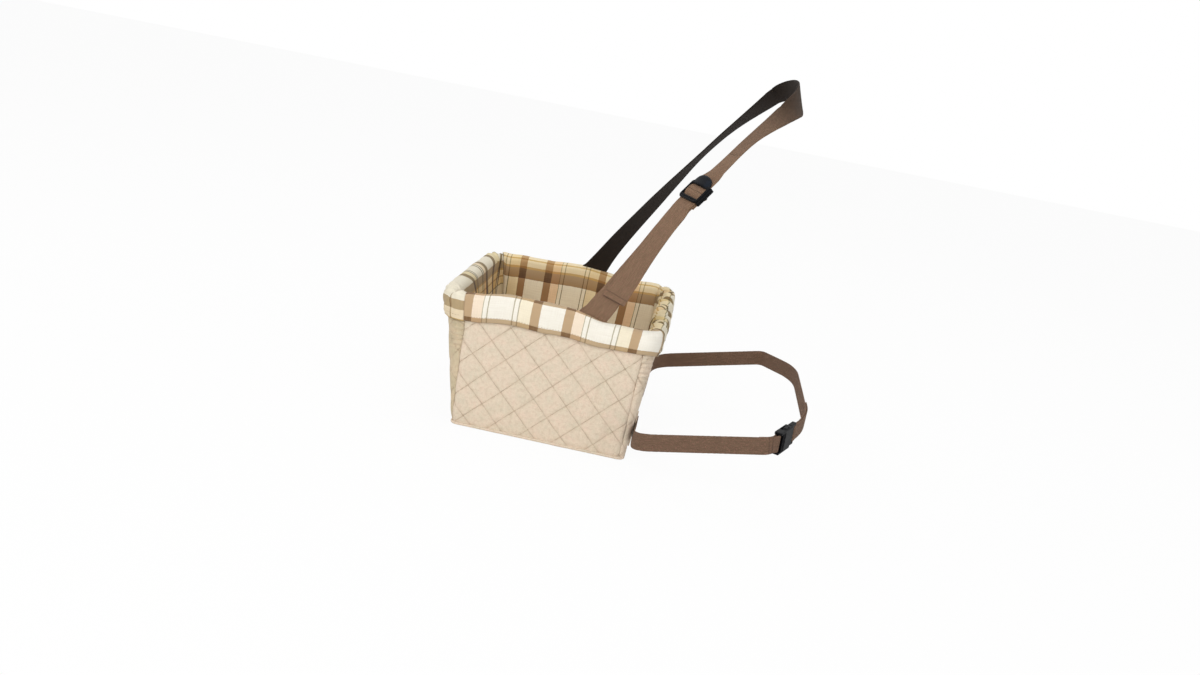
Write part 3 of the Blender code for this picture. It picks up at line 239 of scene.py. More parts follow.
class Wire:
    """One output of a node, which Python's own signs add, take, multiply and divide."""

    __add__ = __radd__ = sum_of("ADD")
    __sub__ = sum_of("SUBTRACT")
    __rsub__ = sum_of("SUBTRACT", reflected=True)
    __mul__ = __rmul__ = sum_of("MULTIPLY")
    __truediv__ = sum_of("DIVIDE")
    __rtruediv__ = sum_of("DIVIDE", reflected=True)
    part = sum_of("FRACT")
    size = sum_of("ABSOLUTE")
    wave = sum_of("SINE")
    least = sum_of("MINIMUM")
    most = sum_of("MAXIMUM")

    def __init__(self, bench: "Bench", socket: bpy.types.NodeSocket) -> None:
        """Hold the output and the bench that its tree belongs to."""
        self.bench = bench
        self.socket = socket

    def ramp(self, low: float, high: float, first: float = 0.0, last: float = 1.0) -> "Wire":
        """A smooth change from first to last while this goes from low to high.

        Args:
            low: where the change starts.
            high: where it ends.
            first: the value up to low.
            last: the value from high.

        Returns:
            The changed value.
        """
        values = {"Value": self, "From Min": low, "From Max": high, "To Min": first, "To Max": last}
        return self.bench.node("ShaderNodeMapRange", {"interpolation_type": "SMOOTHSTEP"}, values)


class Bench:
    """The node tree of one finish, or of the light all round."""

    def __init__(self, name: str, world: bool = False) -> None:
        """Start a material or a world with its plain shader.

        Args:
            name: its name.
            world: whether it is a world.
        """
        self.material = (bpy.data.worlds if world else bpy.data.materials).new(name)
        self.material.use_nodes = True
        self.tree = self.material.node_tree
        self.shader = self.tree.nodes["Background" if world else "Principled BSDF"]

    def node(self, kind: str, settings: dict[str, Any], values: dict[Any, Any], output: Any = 0) -> Wire:
        """Add one node.

        Args:
            kind: the node's type.
            settings: its own settings, with a ramp's stops under "stops" and its interpolation under
                "steps".
            values: what goes into its sockets, as numbers, colours or wires.
            output: the output that is wanted, by place or name.

        Returns:
            The output as a wire.
        """
        made = self.tree.nodes.new(kind)
        for name, value in settings.items():
            if name == "stops":
                self.set_stops(made.color_ramp, value)
            elif name == "steps":
                made.color_ramp.interpolation = value
            else:
                setattr(made, name, value)
        for name, value in values.items():
            self.feed(made.inputs[name], value)
        return Wire(self, made.outputs[output])

    @staticmethod
    def set_stops(ramp: bpy.types.ColorRamp, stops: Sequence[tuple[float, Colour]]) -> None:
        """Give a colour ramp its stops.

        Args:
            ramp: the ramp.
            stops: its places and colours.
        """
        while len(ramp.elements) < len(stops):
            ramp.elements.new(1.0)
        for element, (place, colour) in zip(ramp.elements, stops):
            element.position = place
            element.color = (*colour, 1)

    def feed(self, socket: bpy.types.NodeSocket, value: Any) -> None:
        """Link a wire into a socket, or set its number or colour.

        Args:
            socket: the socket.
            value: the wire, number or colour.
        """
        if isinstance(value, Wire):
            self.tree.links.new(value.socket, socket)
        elif isinstance(value, tuple) and len(value) == 3 and socket.type == "RGBA":
            socket.default_value = (*value, 1)
        else:
            socket.default_value = value

    def cloth_place(self) -> tuple[Wire, Wire, Wire]:
        """The place on the cloth in metres: its vector, its way along and its way across.

        Returns:
            The three wires.
        """
        place = self.node("ShaderNodeTexCoord", {}, {}, "UV")
        along = self.node("ShaderNodeSeparateXYZ", {}, {0: place}, 0)
        across = self.node("ShaderNodeSeparateXYZ", {}, {0: place}, 1)
        return place, along, across

    def seen(self) -> Wire:
        """1 for a ray from the camera, a mirror or glass, and 0 for any other."""
        rays = [self.node("ShaderNodeLightPath", {}, {}, f"Is {kind} Ray")
                for kind in ("Camera", "Glossy", "Transmission")]
        return (rays[0] + rays[1] + rays[2]).least(1.0)

    def object_place(self) -> Wire:
        """The place on the object."""
        return self.node("ShaderNodeTexCoord", {}, {}, "Object")

    def cloud(self, place: Wire, scale: float, detail: float = 2.0,
              stretch: Sequence[float] = (1, 1, 1)) -> Wire:
        """Smooth noise from 0 to 1.

        Args:
            place: where it is read.
            scale: how many humps to a metre.
            detail: how many finer layers lie on it.
            stretch: how much faster it goes along each way.

        Returns:
            The noise.
        """
        moved = self.node("ShaderNodeMapping", {}, {"Vector": place, "Scale": tuple(stretch)})
        return self.node("ShaderNodeTexNoise", {}, {"Vector": moved, "Scale": scale, "Detail": detail})

    def mix(self, share: Any, first: Any, second: Any, way: str = "MIX") -> Wire:
        """Mix two colours."""
        settings = {"data_type": "RGBA", "blend_type": way}
        return self.node("ShaderNodeMix", settings, {0: share, 6: first, 7: second}, 2)

    def finish(self, colour: Any, rough: Any, relief: Any = None, height: float = 0.0005,
               **fixed: Any) -> Finish:
        """Feed the shader.

        Args:
            colour: the base colour.
            rough: the roughness.
            relief: a height from 0 to 1 for the bumps.
            height: how tall a relief of 1 is, in metres.
            fixed: the shader's other sockets, by name with _ for a space.

        Returns:
            The finished material.
        """
        self.feed(self.shader.inputs["Base Color"], colour)
        self.feed(self.shader.inputs["Roughness"], rough)
        if relief is not None:
            bump = self.node("ShaderNodeBump", {}, {"Height": relief, "Distance": height, "Strength": 1.0})
            self.feed(self.shader.inputs["Normal"], bump)
        for name, value in fixed.items():
            self.feed(self.shader.inputs[name.replace("_", " ")], value)
        return self.material


@dataclass(frozen=True)
class Suede:
    """Brushed microfibre with a soft nap, quilted in diamonds where the cloth's place is given, with painted shade
    along the quilting's rows.
    """

    colour: Colour = srgb(226, 211, 190)
    warm: Colour = srgb(230, 208, 188)
    cool: Colour = srgb(214, 204, 182)
    speck: Colour = srgb(184, 158, 130)
    # The rows' colour: the thread's own brown darkened by painted shade in the groove.
    sewn: Colour = srgb(150, 122, 94)
    pitch: float = QUILT_PITCH
    rows_shift: float = QUILT_SHIFT

    def make(self, name: str, quilted: bool) -> Finish:
        """Build the finish.

        Args:
            name: the material's name.
            quilted: whether it has the rows of quilting.

        Returns:
            The material.
        """
        bench = Bench(name)
        place, along, up = bench.cloth_place()
        patches = bench.cloud(place, 40, 3).ramp(0.36, 0.64)
        grain = bench.cloud(place, 820, 3)
        mottle = bench.cloud(place, 190, 4)
        nap = bench.cloud(place, 240, 2, (1, 0.6, 1))
        colour = bench.mix(patches, self.warm, self.cool)
        colour = bench.mix(nap.ramp(0.3, 0.7, 0.2, 0.9), colour, self.colour)
        colour = bench.mix(mottle.ramp(0.42, 0.70, 0.0, 0.24), colour, self.speck)
        colour = bench.mix(grain.ramp(0.42, 0.72, 0.0, 0.5), colour, self.speck)
        relief = grain * 0.5 + nap * 0.5
        if quilted:
            step = self.pitch * sqrt(2)
            ways = (along + up + 40 * step, along - up + (40 * step - self.rows_shift))
            rows = [(0.5 - ((way / step).part() - 0.5).size()) * self.pitch for way in ways]
            near = rows[0].least(rows[1])
            worn = bench.cloud(place, 90, 2).ramp(0.35, 0.65, 0.45, 1.0)
            line = near.ramp(0.0001, 0.0009, 1.0, 0.0) * worn
            knot = rows[0].most(rows[1]).ramp(0.0004, 0.0030, 0.5, 0.0)
            # Painted shade: a soft dark halo beside each row, where the quilting sinks.
            shade = near.ramp(0.0004, 0.0045, 0.10, 0.0)
            colour = bench.mix(shade, colour, self.speck)
            # The rows: partly the thread's colour, partly painted shade in the groove, darkest where two rows cross.
            colour = bench.mix(line * 0.24 + knot * line * 0.7, colour, self.sewn)
            relief = relief + (1 - line) * 1.2
        return bench.finish(colour, 0.94, relief, 0.0005, Sheen_Weight=0.12, Sheen_Roughness=0.5)


@dataclass(frozen=True)
class Plaid:
    """Brushed cotton plaid: warp stripes over weft bands of one sett, with painted shade far down inside the box."""

    white: Colour = srgb(251, 249, 243)
    peach: Colour = srgb(251, 235, 217)
    cream: Colour = srgb(250, 242, 222)
    brown: Colour = srgb(194, 166, 133)
    line: Colour = srgb(190, 182, 162)
    band: Colour = srgb(194, 170, 138)
    butter: Colour = srgb(245, 230, 196)
    gold: Colour = srgb(214, 183, 124)
    moss: Colour = srgb(184, 174, 142)
    knot: Colour = srgb(92, 64, 30)
    # A warm tint for the painted shade inside the box.
    painted_shade_tint: Colour = srgb(252, 244, 230)
    line_width: float = 0.0115
    first_end: float = 0.0907
    second_start: float = 0.672
    second_end: float = 0.762
    thread_pitch: float = 0.0011

    def stripes(self) -> list[tuple[float, Colour]]:
        """The warp's stripes as shares of the sett.

        Returns:
            The stops.
        """
        stops = [(0.0, self.brown), (self.first_end, self.peach)]
        lines = ((0.1972, self.white), (0.2468, self.white), (0.4972, self.white), (0.5458, self.cream))
        for middle, beyond in lines:
            stops += [(middle - self.line_width / 2, self.line), (middle + self.line_width / 2, beyond)]
        return stops + [(self.second_start, self.brown), (self.second_end, self.white)]

    def bands(self) -> list[tuple[float, Colour]]:
        """The weft's bands as shares of the sett.

        Returns:
            The stops.
        """
        return [
            (0.0, self.band), (self.first_end, self.peach), (0.1910, self.gold), (0.2030, self.white),
            (0.2405, self.moss), (0.2500, self.white), (0.4915, self.moss), (0.5010, self.butter),
            (0.5770, self.gold), (0.5930, self.butter), (0.6560, self.gold), (self.second_start, self.band),
            (self.second_end, self.white),
        ]

    def make(self, name: str) -> Finish:
        """Build the finish on the cloth's own place.

        Args:
            name: the material's name.

        Returns:
            The material.
        """
        bench = Bench(name)
        place, along, across = bench.cloth_place()
        slub = bench.cloud(place, 30, 3, (1, 30, 1))
        fall = bench.cloud(place, 30, 3, (30, 1, 1))
        drift = (bench.cloud(place, 160, 2) - 0.5) * 0.0010
        warp = self.dyed(bench, along + drift, self.stripes())
        weft = self.dyed(bench, across + drift, self.bands())
        cloth = bench.mix(1.0, warp, weft, "MULTIPLY")
        on, off = (1.0, 1.0, 1.0), (0.0, 0.0, 0.0)
        marks = ((0.0, on), (self.first_end, off), (self.second_start, on), (self.second_end, off))
        crossing = self.dyed(bench, along + drift, marks) * self.dyed(bench, across + drift, marks)
        cloth = bench.mix(crossing * 0.55, cloth, self.knot)
        turn = TURN / self.thread_pitch
        thread = ((along * turn).wave() * (across * turn).wave()) * 0.5 + 0.5
        worn = (slub + fall).ramp(0.75, 1.3, 0.0, 0.14)
        cloth = bench.mix(worn, cloth, self.band)
        # Painted shade inside the box: the cloth is multiplied by itself and then by a warm tint, as much as each
        # point's share of shade.
        deep = bench.node("ShaderNodeAttribute", {"attribute_name": "deep"}, {}, "Fac")
        cloth = bench.mix(deep * 0.8, cloth, cloth, "MULTIPLY")
        cloth = bench.mix(deep, cloth, self.painted_shade_tint, "MULTIPLY")
        cloth = bench.mix(thread * 0.07, cloth, self.brown, "MULTIPLY")
        return bench.finish(cloth, 0.9, thread * 0.6 + slub * 0.8 + fall * 0.8, 0.0003, Sheen_Weight=0.1)

    @staticmethod
    def dyed(bench: Bench, way: Wire, stops: Sequence[tuple[float, Colour]]) -> Wire:
        """The yarn's colour along one way of the cloth."""
        share = (way / SETT + 20).part()
        return bench.node("ShaderNodeValToRGB", {"steps": "CONSTANT", "stops": stops}, {"Fac": share})


@dataclass(frozen=True)
class WovenTape:
    """Heavy woven webbing: ribs across, a fine twill and reddish flecks, with painted shade along it where its fades
    are given.
    """

    light: Colour = srgb(168, 136, 108)
    dark: Colour = srgb(92, 70, 53)
    fleck: Colour = srgb(158, 110, 96)
    # Painted shade: the near black that the tape darkens towards.
    shade: Colour = srgb(27, 20, 15)
    rib: float = 0.0019
    painted_shade_fades: Table = ()

    def make(self, name: str) -> Finish:
        """Build the finish on the tape's own place.

        Args:
            name: the material's name.

        Returns:
            The material, whose tape darkens into painted shade through the fades: rows of way along and share.
        """
        bench = Bench(name)
        place, along, across = bench.cloth_place()
        turn = TURN / self.rib
        twill = ((along + across) * turn).wave() * 0.5 + 0.5
        cross = ((along - across) * turn).wave() * 0.5 + 0.5
        weave = twill * 0.65 + cross * 0.35
        slub = bench.cloud(place, 70, 3, (1, 10, 1))
        flecks = bench.cloud(place, 420, 4).ramp(0.50, 0.68)
        colour = bench.mix(weave.ramp(0.25, 0.75), self.dark, self.light)
        colour = bench.mix(slub.ramp(0.35, 0.65, 0.0, 0.35), colour, self.dark)
        colour = bench.mix(flecks * 0.45, colour, self.fleck)
        # Painted shade along the tape: its share climbs through the fades' rows by the way along.
        for (low, first), (high, last) in zip(self.painted_shade_fades, self.painted_shade_fades[1:]):
            step = along.ramp(low, high, 0.0, last - first)
            deep = step if (low, first) == self.painted_shade_fades[0] else deep + step
        if self.painted_shade_fades:
            colour = bench.mix(deep + self.painted_shade_fades[0][1], colour, self.shade)
        relief = weave + slub * 0.5
        return bench.finish(colour, 0.88, relief, 0.0005, Sheen_Weight=0.03, Specular_IOR_Level=0.25)


@dataclass(frozen=True)
class MouldedPlastic:
    """Black moulded plastic with a faint grain and patches of painted bluish highlight."""

    colour: Colour = srgb(7, 7, 9)
    bluish_highlight: Colour = srgb(18, 19, 25)

    def make(self, name: str) -> Finish:
        """Build the finish on the object's own place.

        Args:
            name: the material's name.

        Returns:
            The material.
        """
        bench = Bench(name)
        place = bench.object_place()
        grain = bench.cloud(place, 1800, 2)
        haze = bench.cloud(place, 90, 3)
        # Painted highlight: lighter, bluish patches where the haze noise is high.
        colour = bench.mix(haze.ramp(0.4, 0.75, 0.0, 0.5), self.colour, self.bluish_highlight)
        rough = grain * 0.12 + haze * 0.15 + 0.34
        return bench.finish(colour, rough, grain, 0.00008, Specular_IOR_Level=0.10)


@dataclass(frozen=True)
class PlainFinish:
    """A finish of one colour with a speckle and a grain: rods, foam, board and thread."""

    colour: Colour
    speck: Colour
    rough: float
    grain: float
    depth: float
    metal: float = 0.0

    def make(self, name: str) -> Finish:
        """Build the finish on the object's own place.

        Args:
            name: the material's name.

        Returns:
            The material.
        """
        bench = Bench(name)
        place = bench.object_place()
        grain = bench.cloud(place, self.grain, 3)
        colour = bench.mix(grain.ramp(0.4, 0.7), self.colour, self.speck)
        return bench.finish(colour, grain * 0.2 + (self.rough - 0.1), grain, self.depth, Metallic=self.metal)


class Wall(Enum):
    """The box's walls, counterclockwise from the side towards the viewer."""

    NEAR = 0
    REAR = 1
    FAR = 2
    FRONT = 3

    def beside(self, step: int) -> "Wall":
        """The wall that many corners on."""
        return Wall((self.value + step) % 4)


@dataclass(frozen=True)
class BoxPlan:
    """The box's plan at each height, as the solids have it."""

    base_width: float = 0.349
    base_depth: float = 0.268
    height: float = 0.205
    side_flare: float = 0.004
    front_flare: float = 0.042
    rear_flare: float = 0.019
    base_radius: float = 0.010
    rim_radius: float = 0.030
    least_radius: float = 0.004

    def half_width(self, height: float) -> float:
        """Half the cover's width at a height."""
        return self.base_width / 2 + self.side_flare * height / self.height

    def rear(self, height: float) -> float:
        """The cover's rear at a height."""
        return self.base_depth / 2 + self.rear_flare * height / self.height

    def corner(self, index: int, height: float, inset: float) -> tuple[Vector, float]:
        """Centre and radius of a rounded corner, from the front near one counterclockwise.

        Args:
            index: the corner.
            height: the height over the base.
            inset: how far inside the cover's face.

        Returns:
            The centre and the radius.
        """
        outer = self.base_radius + (self.rim_radius - self.base_radius) * height / self.height
        radius = max(outer - inset, self.least_radius)
        across = self.half_width(height) - inset - radius
        ahead = -self.base_depth / 2 - self.front_flare * height / self.height + inset + radius
        behind = self.rear(height) - inset - radius
        places = ((across, ahead), (across, behind), (-across, behind), (-across, ahead))
        return Vector((*places[index % 4], height)), radius

    def on_corner(self, index: int, angle: float, height: float, inset: float) -> Vector:
        """A point on a rounded corner."""
        centre, radius = self.corner(index, height, inset)
        return centre + Vector((cos(angle), sin(angle), 0)) * radius

    def point(self, wall: Wall, place: float, height: float, inset: float = 0.0) -> Vector:
        """A point of one wall.

        Args:
            wall: the wall.
            place: -1 to 1 round the first corner, 1 to 2 along the wall, 2 to 4 round the last corner,
                and on along the next wall past either end.
            height: the height over the base.
            inset: how far inside the cover's face.

        Returns:
            The point.
        """
        side = wall.value
        angle = side * QUARTER
        if place > 4:
            return self.point(wall.beside(1), place - 3, height, inset)
        if place < -1:
            return self.point(wall.beside(-1), place + 3, height, inset)
        if place <= 1:
            return self.on_corner(side, angle - QUARTER * (1 - place) / 2, height, inset)
        if place >= 2:
            return self.on_corner(side + 1, angle + QUARTER * (place - 2) / 2, height, inset)
        start = self.on_corner(side, angle, height, inset)
        return start.lerp(self.on_corner(side + 1, angle, height, inset), place - 1)

    def straight(self, wall: Wall, height: float) -> float:
        """The length of a wall's straight run."""
        return (self.point(wall, 2, height) - self.point(wall, 1, height)).length

    def distance(self, wall: Wall, place: float, height: float) -> float:
        """How far a place is from the wall's middle, along the cover's face.

        Args:
            wall: the wall.
            place: the place along it.
            height: the height over the base.

        Returns:
            The distance, below 0 before the middle.
        """
        half = self.straight(wall, height) / 2
        radius = self.corner(wall.value, height, 0)[1]
        if place <= 1:
            past = max(0.0, -1 - place) * self.straight(wall.beside(-1), height)
            return -half - (1 - max(place, -1)) * radius * QUARTER / 2 - past
        if place >= 2:
            past = max(0.0, place - 4) * self.straight(wall.beside(1), height)
            return half + (min(place, 4) - 2) * radius * QUARTER / 2 + past
        return (place - 1.5) * half * 2

    def place(self, wall: Wall, distance: float, height: float) -> float:
        """The place at a distance from the wall's middle.

        Args:
            wall: the wall.
            distance: the distance, below 0 before the middle.
            height: the height over the base.

        Returns:
            The place.
        """
        half = self.straight(wall, height) / 2
        radius = self.corner(wall.value, height, 0)[1]
        if abs(distance) <= half:
            return 1.5 + distance / half / 2
        past = (abs(distance) - half) / (radius * QUARTER / 2)
        step = 1 if distance > 0 else -1
        if past > 2:
            beyond = abs(distance) - half - radius * QUARTER
            past = 2 + beyond / self.straight(wall.beside(step), height)
        return 1.5 + step * (0.5 + past)

    def offset(self, wall: Wall, height: float) -> float:
        """How far the middle of a wall's straight run is from the box's middle, along the wall."""
        middle = self.point(wall, 1.5, height)
        return {Wall.NEAR: middle.y, Wall.FAR: -middle.y}.get(wall, 0.0)


PLAN = BoxPlan()


def placed(name: str, data: bpy.types.ID) -> Piece:
    """A new object at the origin, linked to the scene."""
    made = bpy.data.objects.new(name, data)
    bpy.context.scene.collection.objects.link(made)
    return made


def make_piece(name: str, points: Sequence[Vector], faces: Sequence[Sequence[int]],
               places: Table | None = None) -> Piece:
    """One smooth mesh object at the origin.

    Args:
        name: the piece's name.
        points: its vertices.
        faces: its faces.
        places: the cloth's place of each vertex, in metres.

    Returns:
        The object.
    """
    mesh = bpy.data.meshes.new(name)
    mesh.from_pydata([tuple(point) for point in points], [], [tuple(face) for face in faces])
    if places is not None:
        layer = mesh.uv_layers.new(name="cloth_place")
        flat = [part for loop in mesh.loops for part in places[loop.vertex_index]]
        layer.data.foreach_set("uv", flat)
    work = bmesh.new()
    work.from_mesh(mesh)
    bmesh.ops.recalc_face_normals(work, faces=work.faces)
    work.to_mesh(mesh)
    work.free()
    mesh.shade_smooth()
    return placed(name, mesh)


def dress(piece: Piece, material: Finish, body: str, slot: str, *nodes: str) -> Piece:
    """Give a piece its finish, its body and the solids that it stands for.

    Args:
        piece: the piece.
        material: its finish.
        body: the body that it rides on.
        slot: its material slot in the record.
        nodes: the solids that it stands for.

    Returns:
        The piece.
    """
    piece.data.materials.clear()
    piece.data.materials.append(material)
    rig.ride(piece, body)
    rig.slot(piece, slot)
    if nodes:
        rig.replaces(piece, *nodes)
    return piece


def shell(name: str, outer: Rows, inner: Rows,
          places: Sequence[Table]) -> Piece:
    """A closed padded panel between two grids of equal size.

    Args:
        name: the piece's name.
        outer: rows of points of the face that shows.
        inner: rows of points of the back.
        places: the cloth's place of each point.

    Returns:
        The object.
    """
    rows, columns = len(outer), len(outer[0])
    points = [point for grid in (outer, inner) for row in grid for point in row]
    cloth = [place for _ in (outer, inner) for row in places for place in row]
    back = rows * columns
    faces = []
    for row in range(rows - 1):
        for column in range(columns - 1):
            low, high = row * columns + column, (row + 1) * columns + column
            faces.append((low, low + 1, high + 1, high))
            faces.append((back + low, back + high, back + high + 1, back + low + 1))
    rim = list(range(columns)) + [row * columns + columns - 1 for row in range(1, rows)]
    rim += [(rows - 1) * columns + column for column in range(columns - 2, -1, -1)]
    rim += [row * columns for row in range(rows - 2, 0, -1)]
    for first, second in zip(rim, rim[1:] + rim[:1]):
        faces.append((first, back + first, back + second, second))
    return make_piece(name, points, faces, cloth)


def ruffle(*place: float) -> float:
    """Smooth noise from -1 to 1 at a place, the same at each run."""
    return noise.noise(Vector((*place, 0.0)[:3]))


def hump(value: float, centre: float, width: float) -> float:
    """A rounded hump of height 1."""
    return exp(-(((value - centre) / width) ** 2))


def eased(value: float, low: float, high: float) -> float:
    """0 below low, 1 above high and a smooth change between."""
    share = min(1.0, max(0.0, (value - low) / (high - low)))
    return share * share * (3 - 2 * share)


@dataclass
class Stitching:
    """Rows of sewn stitches that Geometry Nodes lay along lines."""

    spacing: float = 0.0034
    length: float = 0.0026
    thickness: float = 0.0007
    inputs: dict[str, str] = field(default_factory=dict)

    def sizes(self) -> dict[str, float]:
        """The tree's named inputs and what goes into them."""
        return {"Stitch Spacing": self.spacing, "Stitch Length": self.length,
                "Thread Thickness": self.thickness}

    def tree(self, thread: Finish) -> bpy.types.NodeTree:
        """Build the node tree with its named inputs.

        Args:
            thread: the thread's finish.

        Returns:
            The tree.
        """
        tree = bpy.data.node_groups.new("stitch_row", "GeometryNodeTree")
        tree.interface.new_socket("Lines", in_out="INPUT", socket_type="NodeSocketGeometry")
        for name in self.sizes():
            socket = tree.interface.new_socket(name, in_out="INPUT", socket_type="NodeSocketFloat")
            self.inputs[name] = socket.identifier
        tree.interface.new_socket("Stitches", in_out="OUTPUT", socket_type="NodeSocketGeometry")
        add = tree.nodes.new
        start, end = add("NodeGroupInput"), add("NodeGroupOutput")
        curve, resample = add("GeometryNodeMeshToCurve"), add("GeometryNodeResampleCurve")
        resample.mode = "LENGTH"
        tangent, turn = add("GeometryNodeInputTangent"), add("FunctionNodeAlignRotationToVector")
        turn.axis = "X"
        stitch, size = add("GeometryNodeMeshIcoSphere"), add("GeometryNodeTransform")
        scale = add("ShaderNodeCombineXYZ")
        stitch.inputs["Radius"].default_value = 0.5
        stitch.inputs["Subdivisions"].default_value = 1
        place, smooth = add("GeometryNodeInstanceOnPoints"), add("GeometryNodeSetShadeSmooth")
        real, paint = add("GeometryNodeRealizeInstances"), add("GeometryNodeSetMaterial")
        paint.inputs["Material"].default_value = thread
        links = (
            (start, "Lines", curve, "Mesh"), (curve, "Curve", resample, "Curve"),
            (start, "Stitch Spacing", resample, "Length"), (start, "Stitch Length", scale, "X"),
            (start, "Thread Thickness", scale, "Y"), (start, "Thread Thickness", scale, "Z"),
            (stitch, "Mesh", size, "Geometry"), (scale, "Vector", size, "Scale"),
            (tangent, "Tangent", turn, "Vector"), (resample, "Curve", place, "Points"),
            (size, "Geometry", place, "Instance"), (turn, "Rotation", place, "Rotation"),
            (place, "Instances", smooth, "Geometry"), (smooth, "Geometry", real, "Geometry"),
            (real, "Geometry", paint, "Geometry"), (paint, "Geometry", end, "Stitches"),
        )
        for giver, output, taker, given in links:
            tree.links.new(giver.outputs[output], taker.inputs[given])
        return tree

    def sew(self, name: str, lines: Rows, thread: Finish, slot: str) -> Piece:
        """Lay stitches along lines as one plain mesh on the box.

        Args:
            name: the piece's name.
            lines: each row's points.
            thread: the thread's finish.
            slot: the material slot of the cloth that they are sewn to.

        Returns:
            The object.
        """
        points = [tuple(point) for line in lines for point in line]
        edges, at = [], 0
        for line in lines:
            edges += [(at + step, at + step + 1) for step in range(len(line) - 1)]
            at += len(line)
        mesh = bpy.data.meshes.new(f"{name}_lines")
        mesh.from_pydata(points, edges, [])
        guide = placed(f"{name}_lines", mesh)
        modifier = guide.modifiers.new("stitches", "NODES")
        modifier.node_group = self.tree(thread)
        for label, value in self.sizes().items():
            modifier[self.inputs[label]] = value
        graph = bpy.context.evaluated_depsgraph_get()
        sewn = bpy.data.meshes.new_from_object(guide.evaluated_get(graph))
        sewn.name = name
        bpy.data.objects.remove(guide)
        return dress(placed(name, sewn), thread, "box", slot)


def made_once(finish: Any, *about: Any) -> Any:
    """A field that makes its finish, by name, when its class is built."""
    return field(default_factory=lambda: finish.make(*about))


@dataclass
class Cloths:
    """Every finish of the seat, made once."""

    quilted: Finish = made_once(Suede(), "quilted_suede", True)
    suede: Finish = made_once(Suede(), "plain_suede", False)
    plaid: Finish = made_once(Plaid(), "brushed_plaid")
    # The plaid for the front and rear walls: darker, more olive colours as painted shade, and wider lines.
    end_plaid_painted_shade: Finish = made_once(Plaid(
        white=srgb(245, 241, 230), brown=srgb(142, 122, 84), band=srgb(184, 163, 130),
        peach=srgb(243, 228, 204), cream=srgb(236, 224, 190), line=srgb(134, 120, 88),
        line_width=0.024), "end_wall_plaid")
    tape: Finish = made_once(WovenTape(), "woven_webbing")
    belt_tape: Finish = made_once(WovenTape(srgb(148, 119, 96), srgb(76, 57, 44)), "belt_webbing")
    # The loop's webbing with painted shade: darker from above the adjuster to near black on the far strap, for the
    # headrest's shade and the far strap's shaded underside.
    loop_tape: Finish = made_once(WovenTape(
        painted_shade_fades=((0.0, 0.10), (0.05, 0.25), (0.12, 0.80), (0.22, 0.97))), "shaded_webbing")
    # The suede for the front wall, darker and greener as painted shade, since that wall turns away from the light.
    front_suede: Finish = made_once(
        Suede(srgb(206, 191, 161), srgb(211, 190, 161), srgb(190, 179, 148)), "front_suede", True)
    plastic: Finish = made_once(MouldedPlastic(), "moulded_plastic")
    steel: Finish = made_once(PlainFinish(
        srgb(196, 198, 202), srgb(150, 152, 158), 0.34, 300, 0.00002, 1.0), "drawn_steel")
    foam: Finish = made_once(PlainFinish(
        srgb(236, 232, 214), srgb(212, 206, 184), 0.95, 700, 0.0006), "open_cell_foam")
    board: Finish = made_once(PlainFinish(
        srgb(112, 98, 84), srgb(84, 72, 60), 0.7, 240, 0.0002), "pressed_board")
    thread: Finish = made_once(PlainFinish(
        srgb(207, 187, 160), srgb(188, 164, 136), 0.7, 900, 0.0001), "suede_thread")
    # The lift tab's plastic: lighter and bluer, as painted highlight on the dome.
    tab: Finish = made_once(
        MouldedPlastic(srgb(12, 14, 19), srgb(30, 38, 50)), "adjuster_tab_plastic")
    hem_thread: Finish = made_once(PlainFinish(
        srgb(176, 148, 104), srgb(148, 120, 80), 0.7, 900, 0.0001), "hem_thread")
    dark_thread: Finish = made_once(PlainFinish(
        srgb(88, 64, 52), srgb(62, 44, 36), 0.7, 900, 0.0001), "webbing_thread")


def plan_ring(height: float, inset: float, steps: int = 40) -> list[Vector]:
    """A ring round the box's plan, with that many points to each wall."""
    return [PLAN.point(wall, 3 * step / steps, height, inset) for wall in Wall for step in range(steps)]


